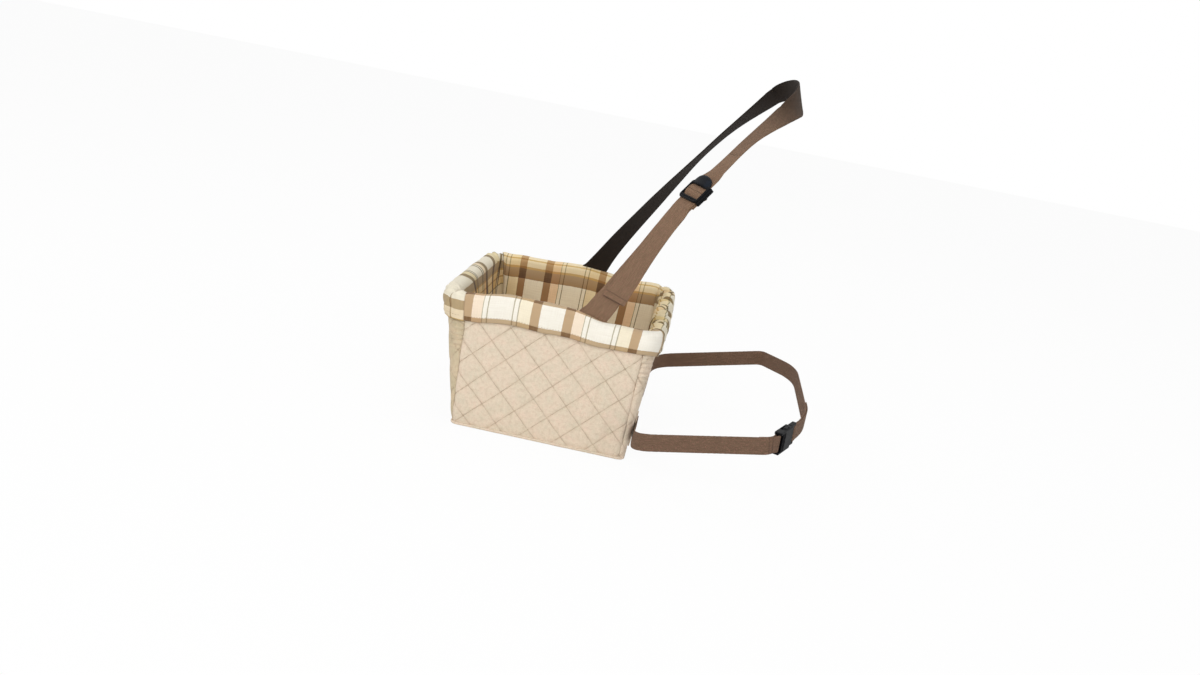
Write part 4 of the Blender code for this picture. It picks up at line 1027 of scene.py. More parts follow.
@dataclass
class QuiltedCover:
    """The outer cover: four walls quilted in diamonds, with seams at the corners and a piped base."""

    cloths: Cloths
    pitch: float = QUILT_PITCH
    rows_shift: float = QUILT_SHIFT
    depth: float = 0.0015
    thickness: float = 0.004
    top: float = 0.190
    grid: float = 0.0022
    seam_groove: float = 0.0016
    piping_radius: float = 0.0021
    base_rings: Table = (
        (0.0004, 0.012), (0.0001, 0.0065), (0.0006, 0.0048), (0.0015, 0.0043), (0.003, 0.0048),
        (0.003, 0.012),
    )
    seam_places: Table = (
        (0, -0.62), (0.01, -0.45), (0.02, -0.14), (0.03, 0.15), (0.04, 0.36), (0.06, 0.64), (0.08, 0.85),
        (0.10, 0.98), (0.13, 1.01), (0.157, 1.02), (0.19, 1.03),
    )

    def seam_place(self, height: float) -> float:
        """Where the seam at a front corner stands at a height, as a place of the side wall."""
        return through_table(self.seam_places, height)

    def span(self, wall: Wall, height: float) -> tuple[float, float]:
        """The first and last place of a wall's panel at a height.

        Args:
            wall: the wall.
            height: the height over the base.

        Returns:
            The two places.
        """
        seam = self.seam_place(height)
        if wall is Wall.NEAR:
            return seam, 2.45
        if wall is Wall.FAR:
            return 0.55, 3 - seam
        if wall is Wall.FRONT:
            return -seam, 3 + seam
        return -0.55, 3.55

    @staticmethod
    def on_cloth(wall: Wall, along: float, height: float) -> tuple[float, float]:
        """The place on the quilted cloth, whose rows of stitches wander a little.

        Args:
            wall: the wall.
            along: the way from its middle.
            height: the height over the base.

        Returns:
            The way along and the way up.
        """
        place = along + PLAN.offset(wall, height)
        side = 0.0011 * ruffle(place * 21, height * 21, wall.value + 3.5)
        rise = 0.0011 * ruffle(place * 21 + 40, height * 21, wall.value + 7.5)
        return place + side, height + rise

    def puff(self, wall: Wall, along: float, height: float, ends: tuple[float, float]) -> float:
        """How far the quilting lets the face stand behind its fullest point.

        Args:
            wall: the wall.
            along: the way from its middle.
            height: the height over the base.
            ends: the distances of the panel's two seams.

        Returns:
            The depth in metres.
        """
        step = self.pitch * sqrt(2)
        x, y = self.on_cloth(wall, along, height)
        rows = [abs((way / step) % 1 - 0.5) * 2 for way in (x + y, x - y - self.rows_shift)]
        full = (1 - rows[0] ** 5) * (1 - rows[1] ** 5)
        sink = self.depth * (1 - full) * (0.8 + 0.5 * ruffle(along * 22, height * 22, wall.value))
        edge = min(along - ends[0], ends[1] - along)
        return sink + self.seam_groove * (1 - eased(edge, 0, 0.006))

    def slack(self, wall: Wall, along: float, height: float, ends: tuple[float, float]) -> float:
        """How far the loose cloth stands out or in, over what the quilting does.

        Args:
            wall: the wall.
            along: the way from its middle.
            height: the height over the base.
            ends: the distances of the panel's two seams.

        Returns:
            How far out, below 0 for in.
        """
        loose = 0.0011 * ruffle(along * 14 + 3, height * 14, wall.value * 5)
        loose -= 0.0016 * hump(height, 0.0, 0.010)
        if wall is Wall.NEAR:
            loose -= 0.0030 * hump(along, 0.085, 0.005) * hump(height, 0.088, 0.013)
            loose -= 0.0026 * hump(along, 0.104, 0.006) * hump(height, 0.028, 0.017)
            loose += 0.0016 * hump(along, 0.096, 0.007) * hump(height, 0.060, 0.040)
        if wall in (Wall.FRONT, Wall.REAR):
            for end, way in ((ends[0], 1), (ends[1], -1)):
                near = 1 - eased((along - end) * way, 0.018, 0.030)
                fall = eased(height, 0.105, 0.130) * (1 - eased(height, 0.160, 0.175))
                gather = sin(height * TURN / 0.0078 + 2 * ruffle(along * 60, height * 60, 1))
                loose += near * fall * 0.0020 * gather
        return loose

    def wall(self, wall: Wall) -> Piece:
        """One wall of the cover.

        Args:
            wall: the wall.

        Returns:
            The padded panel.
        """
        rows = round(self.top / self.grid)
        middle = self.span(wall, self.top / 2)
        length = PLAN.distance(wall, middle[1], self.top / 2) - PLAN.distance(wall, middle[0], self.top / 2)
        columns = round(length / self.grid)
        outer, inner, places = [], [], []
        for row in range(rows + 1):
            height = self.top * row / rows
            ends = tuple(PLAN.distance(wall, place, height) for place in self.span(wall, height))
            line, back, cloth = [], [], []
            for column in range(columns + 1):
                along = ends[0] + (ends[1] - ends[0]) * column / columns
                place = PLAN.place(wall, along, height)
                sink = self.puff(wall, along, height, ends)
                out = self.slack(wall, along, height, ends)
                line.append(PLAN.point(wall, place, height, min(sink - out, self.thickness - 0.0006)))
                back.append(PLAN.point(wall, place, height, self.thickness))
                cloth.append(self.on_cloth(wall, along, height))
            outer.append(line)
            inner.append(back)
            places.append(cloth)
        name = wall.name.lower()
        piece = shell(f"cover_{name}_quilting", outer, inner, places)
        # The front wall takes the suede with painted shade.
        cloth = self.cloths.front_suede if wall is Wall.FRONT else self.cloths.quilted
        dress(piece, cloth, "box", "suede", f"cover_{name}_panel")
        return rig.padded(piece, fill=0.8)

    def quilting_lines(self, wall: Wall) -> list[list[Vector]]:
        """The rows of stitches on one wall.

        Args:
            wall: the wall.

        Returns:
            The points of each row.
        """
        step = self.pitch * sqrt(2)
        lines = []
        for way in (1, -1):
            for index in range(-14, 15):
                line = []
                for mark in range(0, 67):
                    height = 0.002 + mark * (self.top - 0.004) / 66
                    along = index * step - way * height + (self.rows_shift if way < 0 else 0)
                    x, y = self.on_cloth(wall, along - PLAN.offset(wall, height), height)
                    along -= (x - along) + way * (y - height) + PLAN.offset(wall, height)
                    ends = tuple(PLAN.distance(wall, place, height) for place in self.span(wall, height))
                    if ends[0] + 0.003 < along < ends[1] - 0.003:
                        sink = self.puff(wall, along, height, ends) - self.slack(wall, along, height, ends)
                        line.append(PLAN.point(wall, PLAN.place(wall, along, height), height, sink - 0.0001))
                    elif len(line) > 1:
                        lines.append(line)
                        line = []
                if len(line) > 1:
                    lines.append(line)
        return lines

    def piping(self) -> Piece:
        """The piping round the base."""
        return tube("base_piping", plan_ring(0.0024, 0.0014, 48), self.piping_radius, closed=True)

    def base(self) -> Piece:
        """The cover's base panel."""
        return filled_rings("base_panel", [plan_ring(height, inset) for height, inset in self.base_rings])

    def build(self) -> None:
        """Build every piece of the cover."""
        for wall in Wall:
            self.wall(wall)
            Stitching(0.0036, 0.0027, 0.00065).sew(
                f"cover_{wall.name.lower()}_stitches", self.quilting_lines(wall), self.cloths.thread, "suede")
        dress(self.piping(), self.cloths.suede, "box", "suede")
        dress(self.base(), self.cloths.suede, "box", "suede", "cover_base_panel")


def ring_faces(rows: int, count: int, closed: bool = False) -> list[tuple[int, ...]]:
    """The faces between rings of points.

    Args:
        rows: how many rings.
        count: how many points each has.
        closed: whether the last ring meets the first.

    Returns:
        The faces, as the places of their corners.
    """
    faces = []
    for row in range(rows if closed else rows - 1):
        low, high = row * count, (row + 1) % rows * count
        for column in range(count):
            beside = (column + 1) % count
            faces.append((low + column, low + beside, high + beside, high + column))
    return faces


def filled_rings(name: str, rings: Rows) -> Piece:
    """A closed skin over rings, with a middle point at both ends, and its plan as the cloth's place.

    Args:
        name: the piece's name.
        rings: the rings, from one end to the other.

    Returns:
        The object.
    """
    count = len(rings[0])
    points = [point for ring in rings for point in ring]
    faces = ring_faces(len(rings), count)
    for ring, first in ((rings[0], 0), (rings[-1], (len(rings) - 1) * count)):
        middle = sum(ring, Vector()) / count
        points.append(middle)
        faces += [(first + column, first + (column + 1) % count, len(points) - 1) for column in range(count)]
    return make_piece(name, points, faces, [(point.x, point.y) for point in points])


def tube(name: str, centres: Sequence[Vector], radius: float, closed: bool = False, sides: int = 10,
         radii: Sequence[float] | None = None) -> Piece:
    """A round bar through points.

    Args:
        name: the piece's name.
        centres: the points of its middle line.
        radius: its radius.
        closed: whether its end meets its start.
        sides: how many faces go round it.
        radii: a radius for each point instead.

    Returns:
        The object.
    """
    count = len(centres)
    points, places, travelled = [], [], 0.0
    lead = None
    for index, centre in enumerate(centres):
        before = centres[index - 1] if closed or index else centre
        after = centres[(index + 1) % count] if closed or index < count - 1 else centre
        along = (after - before).normalized()
        if lead is None:
            lead = along.orthogonal().normalized()
        lead = (lead - along * lead.dot(along)).normalized()
        side = along.cross(lead)
        size = radii[index] if radii else radius
        for turn in range(sides):
            angle = TURN * turn / sides
            points.append(centre + (lead * cos(angle) + side * sin(angle)) * size)
            places.append((travelled, angle * size))
        travelled += (after - centre).length
    faces = ring_faces(count, sides, closed)
    if not closed:
        faces += [tuple(range(sides)), tuple((count - 1) * sides + column for column in range(sides))]
    return make_piece(name, points, faces, places)


def between(table: Table, value: float) -> float:
    """The value of a table of straight stretches, which go on past its ends.

    Args:
        table: the rows.
        value: where they are read.

    Returns:
        The value.
    """
    last = len(table) - 2
    index = next((i for i in range(last) if value <= table[i + 1][0]), last)
    (low, first), (high, second) = table[index], table[index + 1]
    return first + (second - first) * (value - low) / (high - low)


@dataclass(frozen=True)
class PlaidLay:
    """How the plaid lies on one wall: the sett's warp by place, and its weft at the crest and ways."""

    warps: Table
    weft_start: float
    weft_way: float


@dataclass
class PlaidLiner:
    """The plaid liner: four walls that go over the rim as a padded cuff, and the floor."""

    cloths: Cloths
    inside: float = 0.0186
    foam_side: float = 0.0146
    outside: float = -0.0043
    cuff_side: float = -0.0003
    floor: float = 0.0066
    spring: float = 0.195
    rise: float = 0.010
    hem: float = 0.163
    cuff_bulge: float = 0.0022
    thickness: float = 0.004
    grid: float = 0.0026
    crest_turns: int = 22
    crest_reach: float = 0.0168
    hem_row: int = 4
    hem_margin: int = 3
    lays: dict[Wall, PlaidLay] = field(default_factory=lambda: {
        Wall.NEAR: PlaidLay(((-0.1403, 0.0), (0.0097, 0.150)), 0.1083, 1.0),
        Wall.FAR: PlaidLay(((-0.0692, 0.150), (0.0718, 0.0)), 0.0800, -0.8),
        Wall.FRONT: PlaidLay((
            (-0.200, -0.085), (-0.126, -0.0492), (-0.108, -0.0357), (-0.0505, 0.0), (-0.0355, 0.0136),
            (0.0585, 0.1008), (0.0755, 0.1143), (0.1788, 0.1500), (0.1796, 0.1560), (0.1797, 0.1825),
            (0.210, 0.1845)), 0.1315, 1.0),
        Wall.REAR: PlaidLay(((0.0, 0.0300), (0.150, 0.1800)), 0.0790, -1.0),
    })
    spans: dict[Wall, tuple[float, float]] = field(default_factory=lambda: {
        Wall.NEAR: (1.016, 3.9), Wall.FAR: (0.55, 2.45), Wall.FRONT: (-0.55, 4.016), Wall.REAR: (0.9, 3.55),
    })
    crest_lifts: dict[Wall, Table] = field(default_factory=lambda: {
        Wall.NEAR: (
            (-0.150, 0), (-0.135, -0.0005), (-0.12, 0.001), (-0.10, 0.0045), (-0.08, 0.0085), (-0.06, 0.0092),
            (-0.04, 0.0088), (-0.02, 0.0093), (0.0, 0.009), (0.02, 0.0075), (0.04, 0.0045), (0.06, -0.0005),
            (0.08, -0.0015), (0.10, -0.002), (0.12, -0.003), (0.14, -0.002), (0.16, 0)),
        Wall.FAR: (
            (-0.14, 0.001), (-0.12, 0.003), (-0.10, 0.002), (-0.08, 0.001), (-0.06, 0.003), (-0.04, 0.005),
            (-0.02, 0.0075), (0.0, 0.009), (0.02, 0.009), (0.04, 0.0075), (0.06, 0.0055), (0.08, 0.005),
            (0.10, 0.0045), (0.12, 0.004), (0.14, 0.002), (0.155, 0.004)),
    })
    floor_rings: Table = (
        (0.0066, 0.030), (0.0066, 0.0195), (0.0080, 0.0189), (0.0094, 0.0195), (0.0096, 0.030),
    )
    hem_lifts: Table = (
        (-0.15, 0.0005), (-0.14, 0.001), (-0.12, 0.002), (-0.10, 0.0055), (-0.08, 0.008), (-0.06, 0.009),
        (-0.04, 0.008), (-0.02, 0.007), (0.0, 0.008), (0.02, 0.008), (0.04, 0.006), (0.06, 0.004),
        (0.08, 0.0045), (0.10, 0.005), (0.12, 0.0055), (0.14, 0.006), (0.16, 0.002),
    )

    def section(self) -> list[tuple[float, float, float, float, float]]:
        """The wall's section from the floor over the crest to the hem.

        Returns:
            Rows of inset and height of the face, inset and height of the back, and the way along
            the cloth from the crest, which is below 0 inside the box.
        """
        half = (self.inside - self.outside) / 2
        middle = (self.inside + self.outside) / 2
        back_half = (self.foam_side - self.cuff_side) / 2
        back_middle = (self.foam_side + self.cuff_side) / 2
        quarter = QUARTER * (half + self.rise) / 2
        rows = []
        steps = round((self.spring - self.floor) / self.grid)
        for step in range(steps):
            height = self.floor + (self.spring - self.floor) * step / steps
            rows.append((self.inside, height, self.foam_side, height, height - self.spring - quarter))
        back_rise = self.rise - self.thickness
        for step in range(self.crest_turns + 1):
            angle = pi * step / self.crest_turns
            rows.append((
                middle + half * cos(angle), self.spring + self.rise * sin(angle),
                back_middle + back_half * cos(angle), self.spring + back_rise * sin(angle),
                quarter * (2 * step / self.crest_turns - 1),
            ))
        steps = round((self.spring - self.hem) / self.grid)
        for step in range(1, steps + 1):
            share = step / steps
            height = self.spring - (self.spring - self.hem) * share
            bulge = self.cuff_bulge * sin(pi * min(1, share * 1.05)) ** 0.8 if share < 0.95 else 0
            way = quarter + self.spring - height
            rows.append((self.outside - bulge, height, self.cuff_side, height, way))
        return rows

    def lifts(self, wall: Wall, along: float, height: float, way: float) -> float:
        """How much higher than the solids the cloth lies, because the rim and the hem are wavy.

        Args:
            wall: the wall.
            along: the way from its middle.
            height: the height over the base.
            way: the way along the cloth from the crest.

        Returns:
            How much higher.
        """
        if wall not in self.crest_lifts:
            return 0.0
        place = along + PLAN.offset(wall, self.spring)
        crest = within_table(self.crest_lifts[wall], place)
        if way <= 0:
            return crest * eased(height, 0.110, 0.200)
        hem = within_table(self.hem_lifts, place) if wall is Wall.NEAR else 0.0
        share = min(1.0, (height - self.hem) / (self.spring + self.rise - self.hem))
        return hem + (crest - hem) * share

    def folds(self, wall: Wall, along: float, way: float) -> float:
        """How far the cloth's folds stand out of its smooth shape.

        Args:
            wall: the wall.
            along: the way from its middle.
            way: the way along the cloth from the crest.

        Returns:
            The height in metres.
        """
        soft = 0.0012 * ruffle(along * 17, way * 17, wall.value * 3 + 0.5)
        soft += 0.0006 * ruffle(along * 55, way * 25, wall.value * 3 + 9.5)
        if wall is Wall.NEAR:
            spot = along + PLAN.offset(wall, self.spring)
            soft += 0.0022 * hump(spot, 0.047, 0.013) * hump(way, 0.047, 0.007)
            soft += 0.0010 * sin(spot * TURN / 0.062) * hump(way, 0.030, 0.014)
        if wall is Wall.REAR:
            bunch = hump(way, 0.010, 0.036)
            twist = 9 * ruffle(along * 9, way * 26, 2)
            soft += bunch * 0.0036 * sin(along * TURN / 0.026 + way * 90 + twist)
            soft += bunch * 0.0024 * ruffle(along * 60, way * 70, 6)
        if wall is Wall.FRONT:
            corner = eased(abs(along), 0.110, 0.150)
            soft += corner * 0.0018 * sin((along + way * 0.8) * TURN / 0.021) * hump(way, 0, 0.05)
            soft += 0.0022 * (1 - (along / 0.16) ** 2) * hump(way, 0.010, 0.018) if abs(along) < 0.16 else 0.0
            soft -= 0.0045 * hump(along, 0.176, 0.006) * hump(way, -0.008, 0.016)
        return soft

    def wall(self, wall: Wall) -> Piece:
        """One wall of the liner with its cuff.

        Args:
            wall: the wall.

        Returns:
            The padded wall.
        """
        lay = self.lays[wall]
        spans = [PLAN.distance(wall, place, self.spring) for place in self.spans[wall]]
        columns = round((spans[1] - spans[0]) / self.grid)
        outer, inner, places = [], [], []
        for inset, height, back_inset, back_height, way in self.section():
            line, back, cloth = [], [], []
            for column in range(columns + 1):
                along = spans[0] + (spans[1] - spans[0]) * column / columns
                place = PLAN.place(wall, along, self.spring)
                out = self.folds(wall, along, way)
                edge = min(column, columns - column) * self.grid
                out = out * eased(edge, 0, 0.01) - 0.0012 * (1 - eased(edge, 0, 0.005))
                tilt = min(1, max(-1, way / self.crest_reach))
                lean, lift = sin(tilt * QUARTER), cos(tilt * QUARTER)
                raised = UP * self.lifts(wall, along, height, way)
                line.append(PLAN.point(wall, place, height + out * lift, inset - out * lean) + raised)
                back.append(PLAN.point(wall, place, back_height, back_inset) + raised)
                warp = between(lay.warps, self.spread(wall, along, way))
                cloth.append((warp, lay.weft_start + self.drawn(wall, along, way) * lay.weft_way))
            outer.append(line)
            inner.append(back)
            places.append(cloth)
        name = wall.name.lower()
        piece = shell(f"liner_{name}_cloth", outer, inner, places)
        # Each point's share of painted shade for the plaid: full from 6 cm down the inner face, none from just inside
        # the crest over the cuff.
        deep = [1 - eased(way, -0.060, -0.004) for *_, way in self.section() for _ in range(columns + 1)]
        piece.data.attributes.new("deep", "FLOAT", "POINT").data.foreach_set("value", deep + deep)
        # The front and rear walls take the plaid with painted shade.
        cloth = self.cloths.end_plaid_painted_shade if wall in (Wall.FRONT, Wall.REAR) else self.cloths.plaid
        dress(piece, cloth, "box", "plaid", f"liner_{name}_wall")
        hem = outer[-self.hem_row][self.hem_margin:-self.hem_margin]
        Stitching(0.0042, 0.0030, 0.0006).sew(
            f"liner_{name}_hem_stitches", [hem], self.cloths.hem_thread, "plaid")
        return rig.padded(piece, fill=0.7)

    def drawn(self, wall: Wall, along: float, way: float) -> float:
        """The way across a wall's cloth, which the near wall's hem holds where its rim dips or rises.

        Args:
            wall: the wall.
            along: the way from its middle.
            way: the way along the cloth from the crest.

        Returns:
            The way that the plaid is read at.
        """
        if wall is not Wall.NEAR:
            return way
        reach = QUARTER * ((self.inside - self.outside) / 2 + self.rise) / 2 + self.spring - self.hem
        crest = self.lifts(wall, along, self.spring + self.rise, 0.0)
        hem = self.lifts(wall, along, self.hem, reach)
        return reach - (reach - way) * (1 + (crest - hem) / reach)

    def spread(self, wall: Wall, along: float, way: float) -> float:
        """The place along a wall's cloth, which the front wall's corners pull aside inside the box.

        Args:
            wall: the wall.
            along: the way from its middle.
            way: the way along the cloth from the crest.

        Returns:
            The place that the plaid is read at.
        """
        place = along + PLAN.offset(wall, self.spring)
        if wall is Wall.NEAR:
            place += 0.066 * way
        if wall is Wall.FAR:
            place += 0.075 * min(0.0, way)
        if wall is Wall.FRONT:
            inside = max(0.0, -way - 0.004)
            place += 1.6 * inside * eased(along, 0.0, 0.07) - 1.0 * inside * eased(-along, 0.05, 0.12)
        return place

    def floor_cloth(self) -> Piece:
        """The liner's floor."""
        rings = [plan_ring(height, inset) for height, inset in self.floor_rings]
        return filled_rings("liner_floor_cloth", rings)

    def build(self) -> None:
        """Build every piece of the liner."""
        for wall in Wall:
            self.wall(wall)
        dress(self.floor_cloth(), self.cloths.plaid, "box", "plaid", "liner_floor")


@dataclass
class FloorCushion:
    """The loose cushion on the floor: a stuffed plaid pad with drawn-in sides and sewn tufts."""

    cloths: Cloths
    turns: int = 96
    levels: int = 14
    edge: float = 0.020
    top_share: float = 0.94
    crown: float = 0.0105
    corner: float = 0.022
    waist: float = 0.005
    tuft_depth: float = 0.006
    tuft_spread: float = 0.011
    voxel: float = 0.005
    pressure: float = 4.0
    frames: int = 20
    held_height: float = 0.002
    most_swell: float = 0.003
    side_shares: Table = (
        (0.93, 0.0), (0.97, 0.10), (0.99, 0.35), (0.99, 0.65), (0.97, 0.90),
    )

    def build(self) -> None:
        """Build the pad inside its solid's box, swell it by a short simulation and lay its cloth."""
        low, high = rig.box("floor_cushion")
        middle = (low + high) / 2
        half_x, half_y = (high.x - low.x) / 2, (high.y - low.y) / 2
        rings = []
        for share, rise in self.side_shares:
            height = low.z + self.edge * rise
            rings.append([self.rim(half_x, half_y, turn, share, height) for turn in range(self.turns)])
        for level in range(self.levels):
            share = self.top_share * (1 - level / self.levels)
            ring = []
            for turn in range(self.turns):
                point = self.rim(half_x, half_y, turn, share, 0.0)
                crown = self.crown * (1 - (point.x / half_x) ** 2) * (1 - (point.y / half_y) ** 2)
                height = low.z + self.edge + crown - self.tufts(point, half_x, half_y)
                ring.append(Vector((point.x, point.y, height)))
            rings.append(ring)
        piece = filled_rings("floor_cushion_pad", rings)
        piece.data.transform(Matrix.Translation((middle.x, middle.y, 0)))
        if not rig.quick():
            self.swell(piece, low.z)
        self.lay_cloth(piece, high.z)
        dress(piece, self.cloths.plaid, "cushion", "plaid", "floor_cushion")
        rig.padded(piece, fill=0.8)

    def swell(self, piece: Piece, underside: float) -> None:
        """Fill the pad by a short cloth simulation that its tufts and its underside hold.

        Args:
            piece: the pad.
            underside: the height of its underside.
        """
        self.settled(piece, "REMESH", mode="VOXEL", voxel_size=self.voxel)
        starts = [vertex.co.copy() for vertex in piece.data.vertices]
        held = piece.vertex_groups.new(name="held")
        limit = underside + self.held_height
        held.add([index for index, place in enumerate(starts) if place.z < limit], 1.0, "REPLACE")
        fill = piece.modifiers.new("fill", "CLOTH")
        fill.settings.use_pressure = True
        fill.settings.uniform_pressure_force = self.pressure
        fill.settings.vertex_group_mass = "held"
        fill.settings.effector_weights.gravity = 0.0
        fill.point_cache.frame_start, fill.point_cache.frame_end = 1, self.frames
        for step in range(1, self.frames + 1):
            bpy.context.scene.frame_set(step)
        filled = bpy.data.meshes.new_from_object(piece.evaluated_get(bpy.context.evaluated_depsgraph_get()))
        piece.modifiers.clear()
        for vertex, start, after in zip(piece.data.vertices, starts, filled.vertices):
            move = after.co - start
            vertex.co = start + move * min(1.0, self.most_swell / max(move.length, 1e-9))
        bpy.data.meshes.remove(filled)
        bpy.context.scene.frame_set(1)
        self.settled(piece, "SUBSURF", levels=1)
        piece.data.shade_smooth()

    @staticmethod
    def settled(piece: Piece, kind: str, **settings: Any) -> None:
        """Run one modifier and keep its mesh.

        Args:
            piece: the piece.
            kind: the modifier's type.
            settings: its settings.
        """
        modifier = piece.modifiers.new("once", kind)
        for name, value in settings.items():
            setattr(modifier, name, value)
        made = bpy.data.meshes.new_from_object(piece.evaluated_get(bpy.context.evaluated_depsgraph_get()))
        piece.modifiers.clear()
        piece.data = made

    @staticmethod
    def lay_cloth(piece: Piece, top: float) -> None:
        """Lay the plaid flat over the pad's top and down its sides.

        Args:
            piece: the pad.
            top: the height of its top.
        """
        mesh = piece.data
        layer = mesh.uv_layers.get("cloth_place") or mesh.uv_layers.new(name="cloth_place")
        for loop in mesh.loops:
            vertex = mesh.vertices[loop.vertex_index]
            drop = top - vertex.co.z
            beside = (vertex.co.x + vertex.normal.x * drop, vertex.co.y + vertex.normal.y * drop)
            layer.data[loop.index].uv = beside

    def rim(self, half_x: float, half_y: float, turn: int, share: float, height: float) -> Vector:
        """A point of the cushion's plan.

        Args:
            half_x: half the width.
            half_y: half the depth.
            turn: which point round the plan.
            share: how much of the plan's size.
            height: its height.

        Returns:
            The point.
        """
        angle = TURN * turn / self.turns
        power = self.corner / half_y * 2
        cosine, sine = cos(angle), sin(angle)
        x, y = copysign(abs(cosine) ** power, cosine), copysign(abs(sine) ** power, sine)
        reach_x, reach_y = half_x - self.waist * (1 - y * y), half_y - self.waist * (1 - x * x)
        return Vector((reach_x * x * share, reach_y * y * share, height))

    def tufts(self, point: Vector, half_x: float, half_y: float) -> float:
        """How far the tufts pull the top in at a point."""
        spots = [(0, 0)] + [(half_x * x / 2, half_y * y / 2) for x in (-1, 1) for y in (-1, 1)]
        reaches = [hypot(point.x - x, point.y - y) for x, y in spots]
        return sum(self.tuft_depth * hump(reach, 0.0, self.tuft_spread) for reach in reaches)


def through_table(table: Table, share: float) -> float:
    """The value at a share, on a smooth curve through a table of shares and values.

    Args:
        table: the rows.
        share: where the curve is read.

    Returns:
        The value.
    """
    last = len(table) - 2
    index = next((i for i in range(last) if share <= table[i + 1][0]), last)

    def slope(place: int) -> float:
        """The curve's slope at one row of the table."""
        (low, first), (high, second) = table[max(place - 1, 0)], table[min(place + 1, last + 1)]
        return (second - first) / (high - low)

    (low, first), (high, second) = table[index], table[index + 1]
    span = high - low
    part = (share - low) / span
    bend = first + (second - first) * part ** 2 * (3 - 2 * part)
    leave = slope(index) * span * part * (1 - part) ** 2
    arrive = slope(index + 1) * span * part ** 2 * (part - 1)
    return bend + leave + arrive


def within_table(table: Table, place: float) -> float:
    """The value at a place on such a curve, held at the table's first or last value past its ends."""
    return through_table(table, min(table[-1][0], max(table[0][0], place)))


@dataclass(frozen=True)
class StrapRoute:
    """The way of one end of the headrest strap, from the rim to the headrest's posts."""

    side: int
    setback: float
    loop_setback: float
    loop_height: float
    bow: float
    drift: float
    bows: Table
    twists: Table
    drifts: Table = (
        (0, 0), (0.1, 0.22), (0.2, 0.48), (0.3, 0.76), (0.4, 0.95), (0.5, 0.95), (0.5875, 0.78), (0.7, 0.45),
        (0.85, 0.16), (1, 0),
    )
    drift_climb: float = 0.11
    loop_half_width: float = 0.088
    rod_inset: float = 0.0093
    rod_height: float = 0.182
    foot_height: float = 0.1885
    rim_height: float = 0.2053

    def rim(self) -> Vector:
        """Where the strap leaves the rim."""
        across = PLAN.half_width(self.rod_height) - self.rod_inset
        return Vector((self.side * across, self.setback, self.rim_height))

    def loop(self) -> Vector:
        """Where the strap reaches the headrest's posts."""
        return Vector((self.side * self.loop_half_width, self.loop_setback, self.loop_height))

    def centre(self, share: float) -> Vector:
        """The strap's centre at a share of the way.

        Args:
            share: the share of the way.

        Returns:
            The centre.
        """
        line = self.loop() - self.rim()
        bow_way = ACROSS.cross(line).normalized()
        drift = Vector((self.side, 0, self.drift_climb)) * (self.drift * through_table(self.drifts, share))
        return self.rim() + line * share + bow_way * self.bow * through_table(self.bows, share) + drift

    def frame(self, share: float) -> Axes:
        """Centre, direction along, across and out at a share of the way.

        Args:
            share: the share of the way.

        Returns:
            Centre, along, across and out.
        """
        step = 1 / 144
        along = (self.centre(share + step) - self.centre(share - step)).normalized()
        flat = along.cross(ACROSS).normalized()
        inward = along.cross(flat) * self.side
        turn = radians(through_table(self.twists, share))
        across = flat * cos(turn) + inward * sin(turn)
        return self.centre(share), along, across, across.cross(along).normalized() * self.side

    def station(self, share: float, lift: float = 0.0, sideways: float = 0.0) -> Station:
        """The centre and the direction across at a share of the way, lifted off and moved across."""
        centre, _, across, out = self.frame(share)
        return centre + out * lift + across * sideways, across

    def length(self) -> float:
        """The straight distance from the rim to the posts."""
        return (self.loop() - self.rim()).length

    def foot(self) -> list[Station]:
        """The strap's stations in the wall, over the rod.

        Returns:
            The stations.
        """
        _, along, _, _ = self.frame(0)
        run = Vector((0, along.y, along.z)).normalized()
        foot = self.rim() - run * ((self.rim_height - self.foot_height) / run.z)
        level = Vector((0, 1 / run.z, 0))
        return [(foot, level), (self.rim(), level)]


NEAR_ROUTE = StrapRoute(
    1, 0.0488, 0.262, 0.539, 0.016, 0.020,
    ((0, 0), (0.1, 0.15), (0.2, 0.38), (0.3, 0.62), (0.4, 0.86), (0.5, 1), (0.6, 0.95), (0.7, 0.82),
     (0.85, 0.62), (1, 0)),
    ((0, 0), (0.05, -10), (0.1, -26), (0.2, -36), (0.3, -46), (0.4, -50), (0.5, -54), (0.5875, -60),
     (0.7, -70), (0.85, -72), (0.93, -63), (1, -47)),
)
FAR_ROUTE = StrapRoute(
    -1, 0.0090, 0.248, 0.560, 0.014, 0.004,
    ((0, 0), (0.1, 0.38), (0.2, 0.62), (0.35, 0.8), (0.5, 0.95), (0.65, 1), (0.8, 0.78), (1, 0)),
    ((0, 0), (0.05, -24), (0.1, -36), (0.2, -45), (0.3, -52), (0.4, -58), (0.5, -66), (0.65, -76), (0.8, -73),
     (0.9, -63), (1, -47)),
)


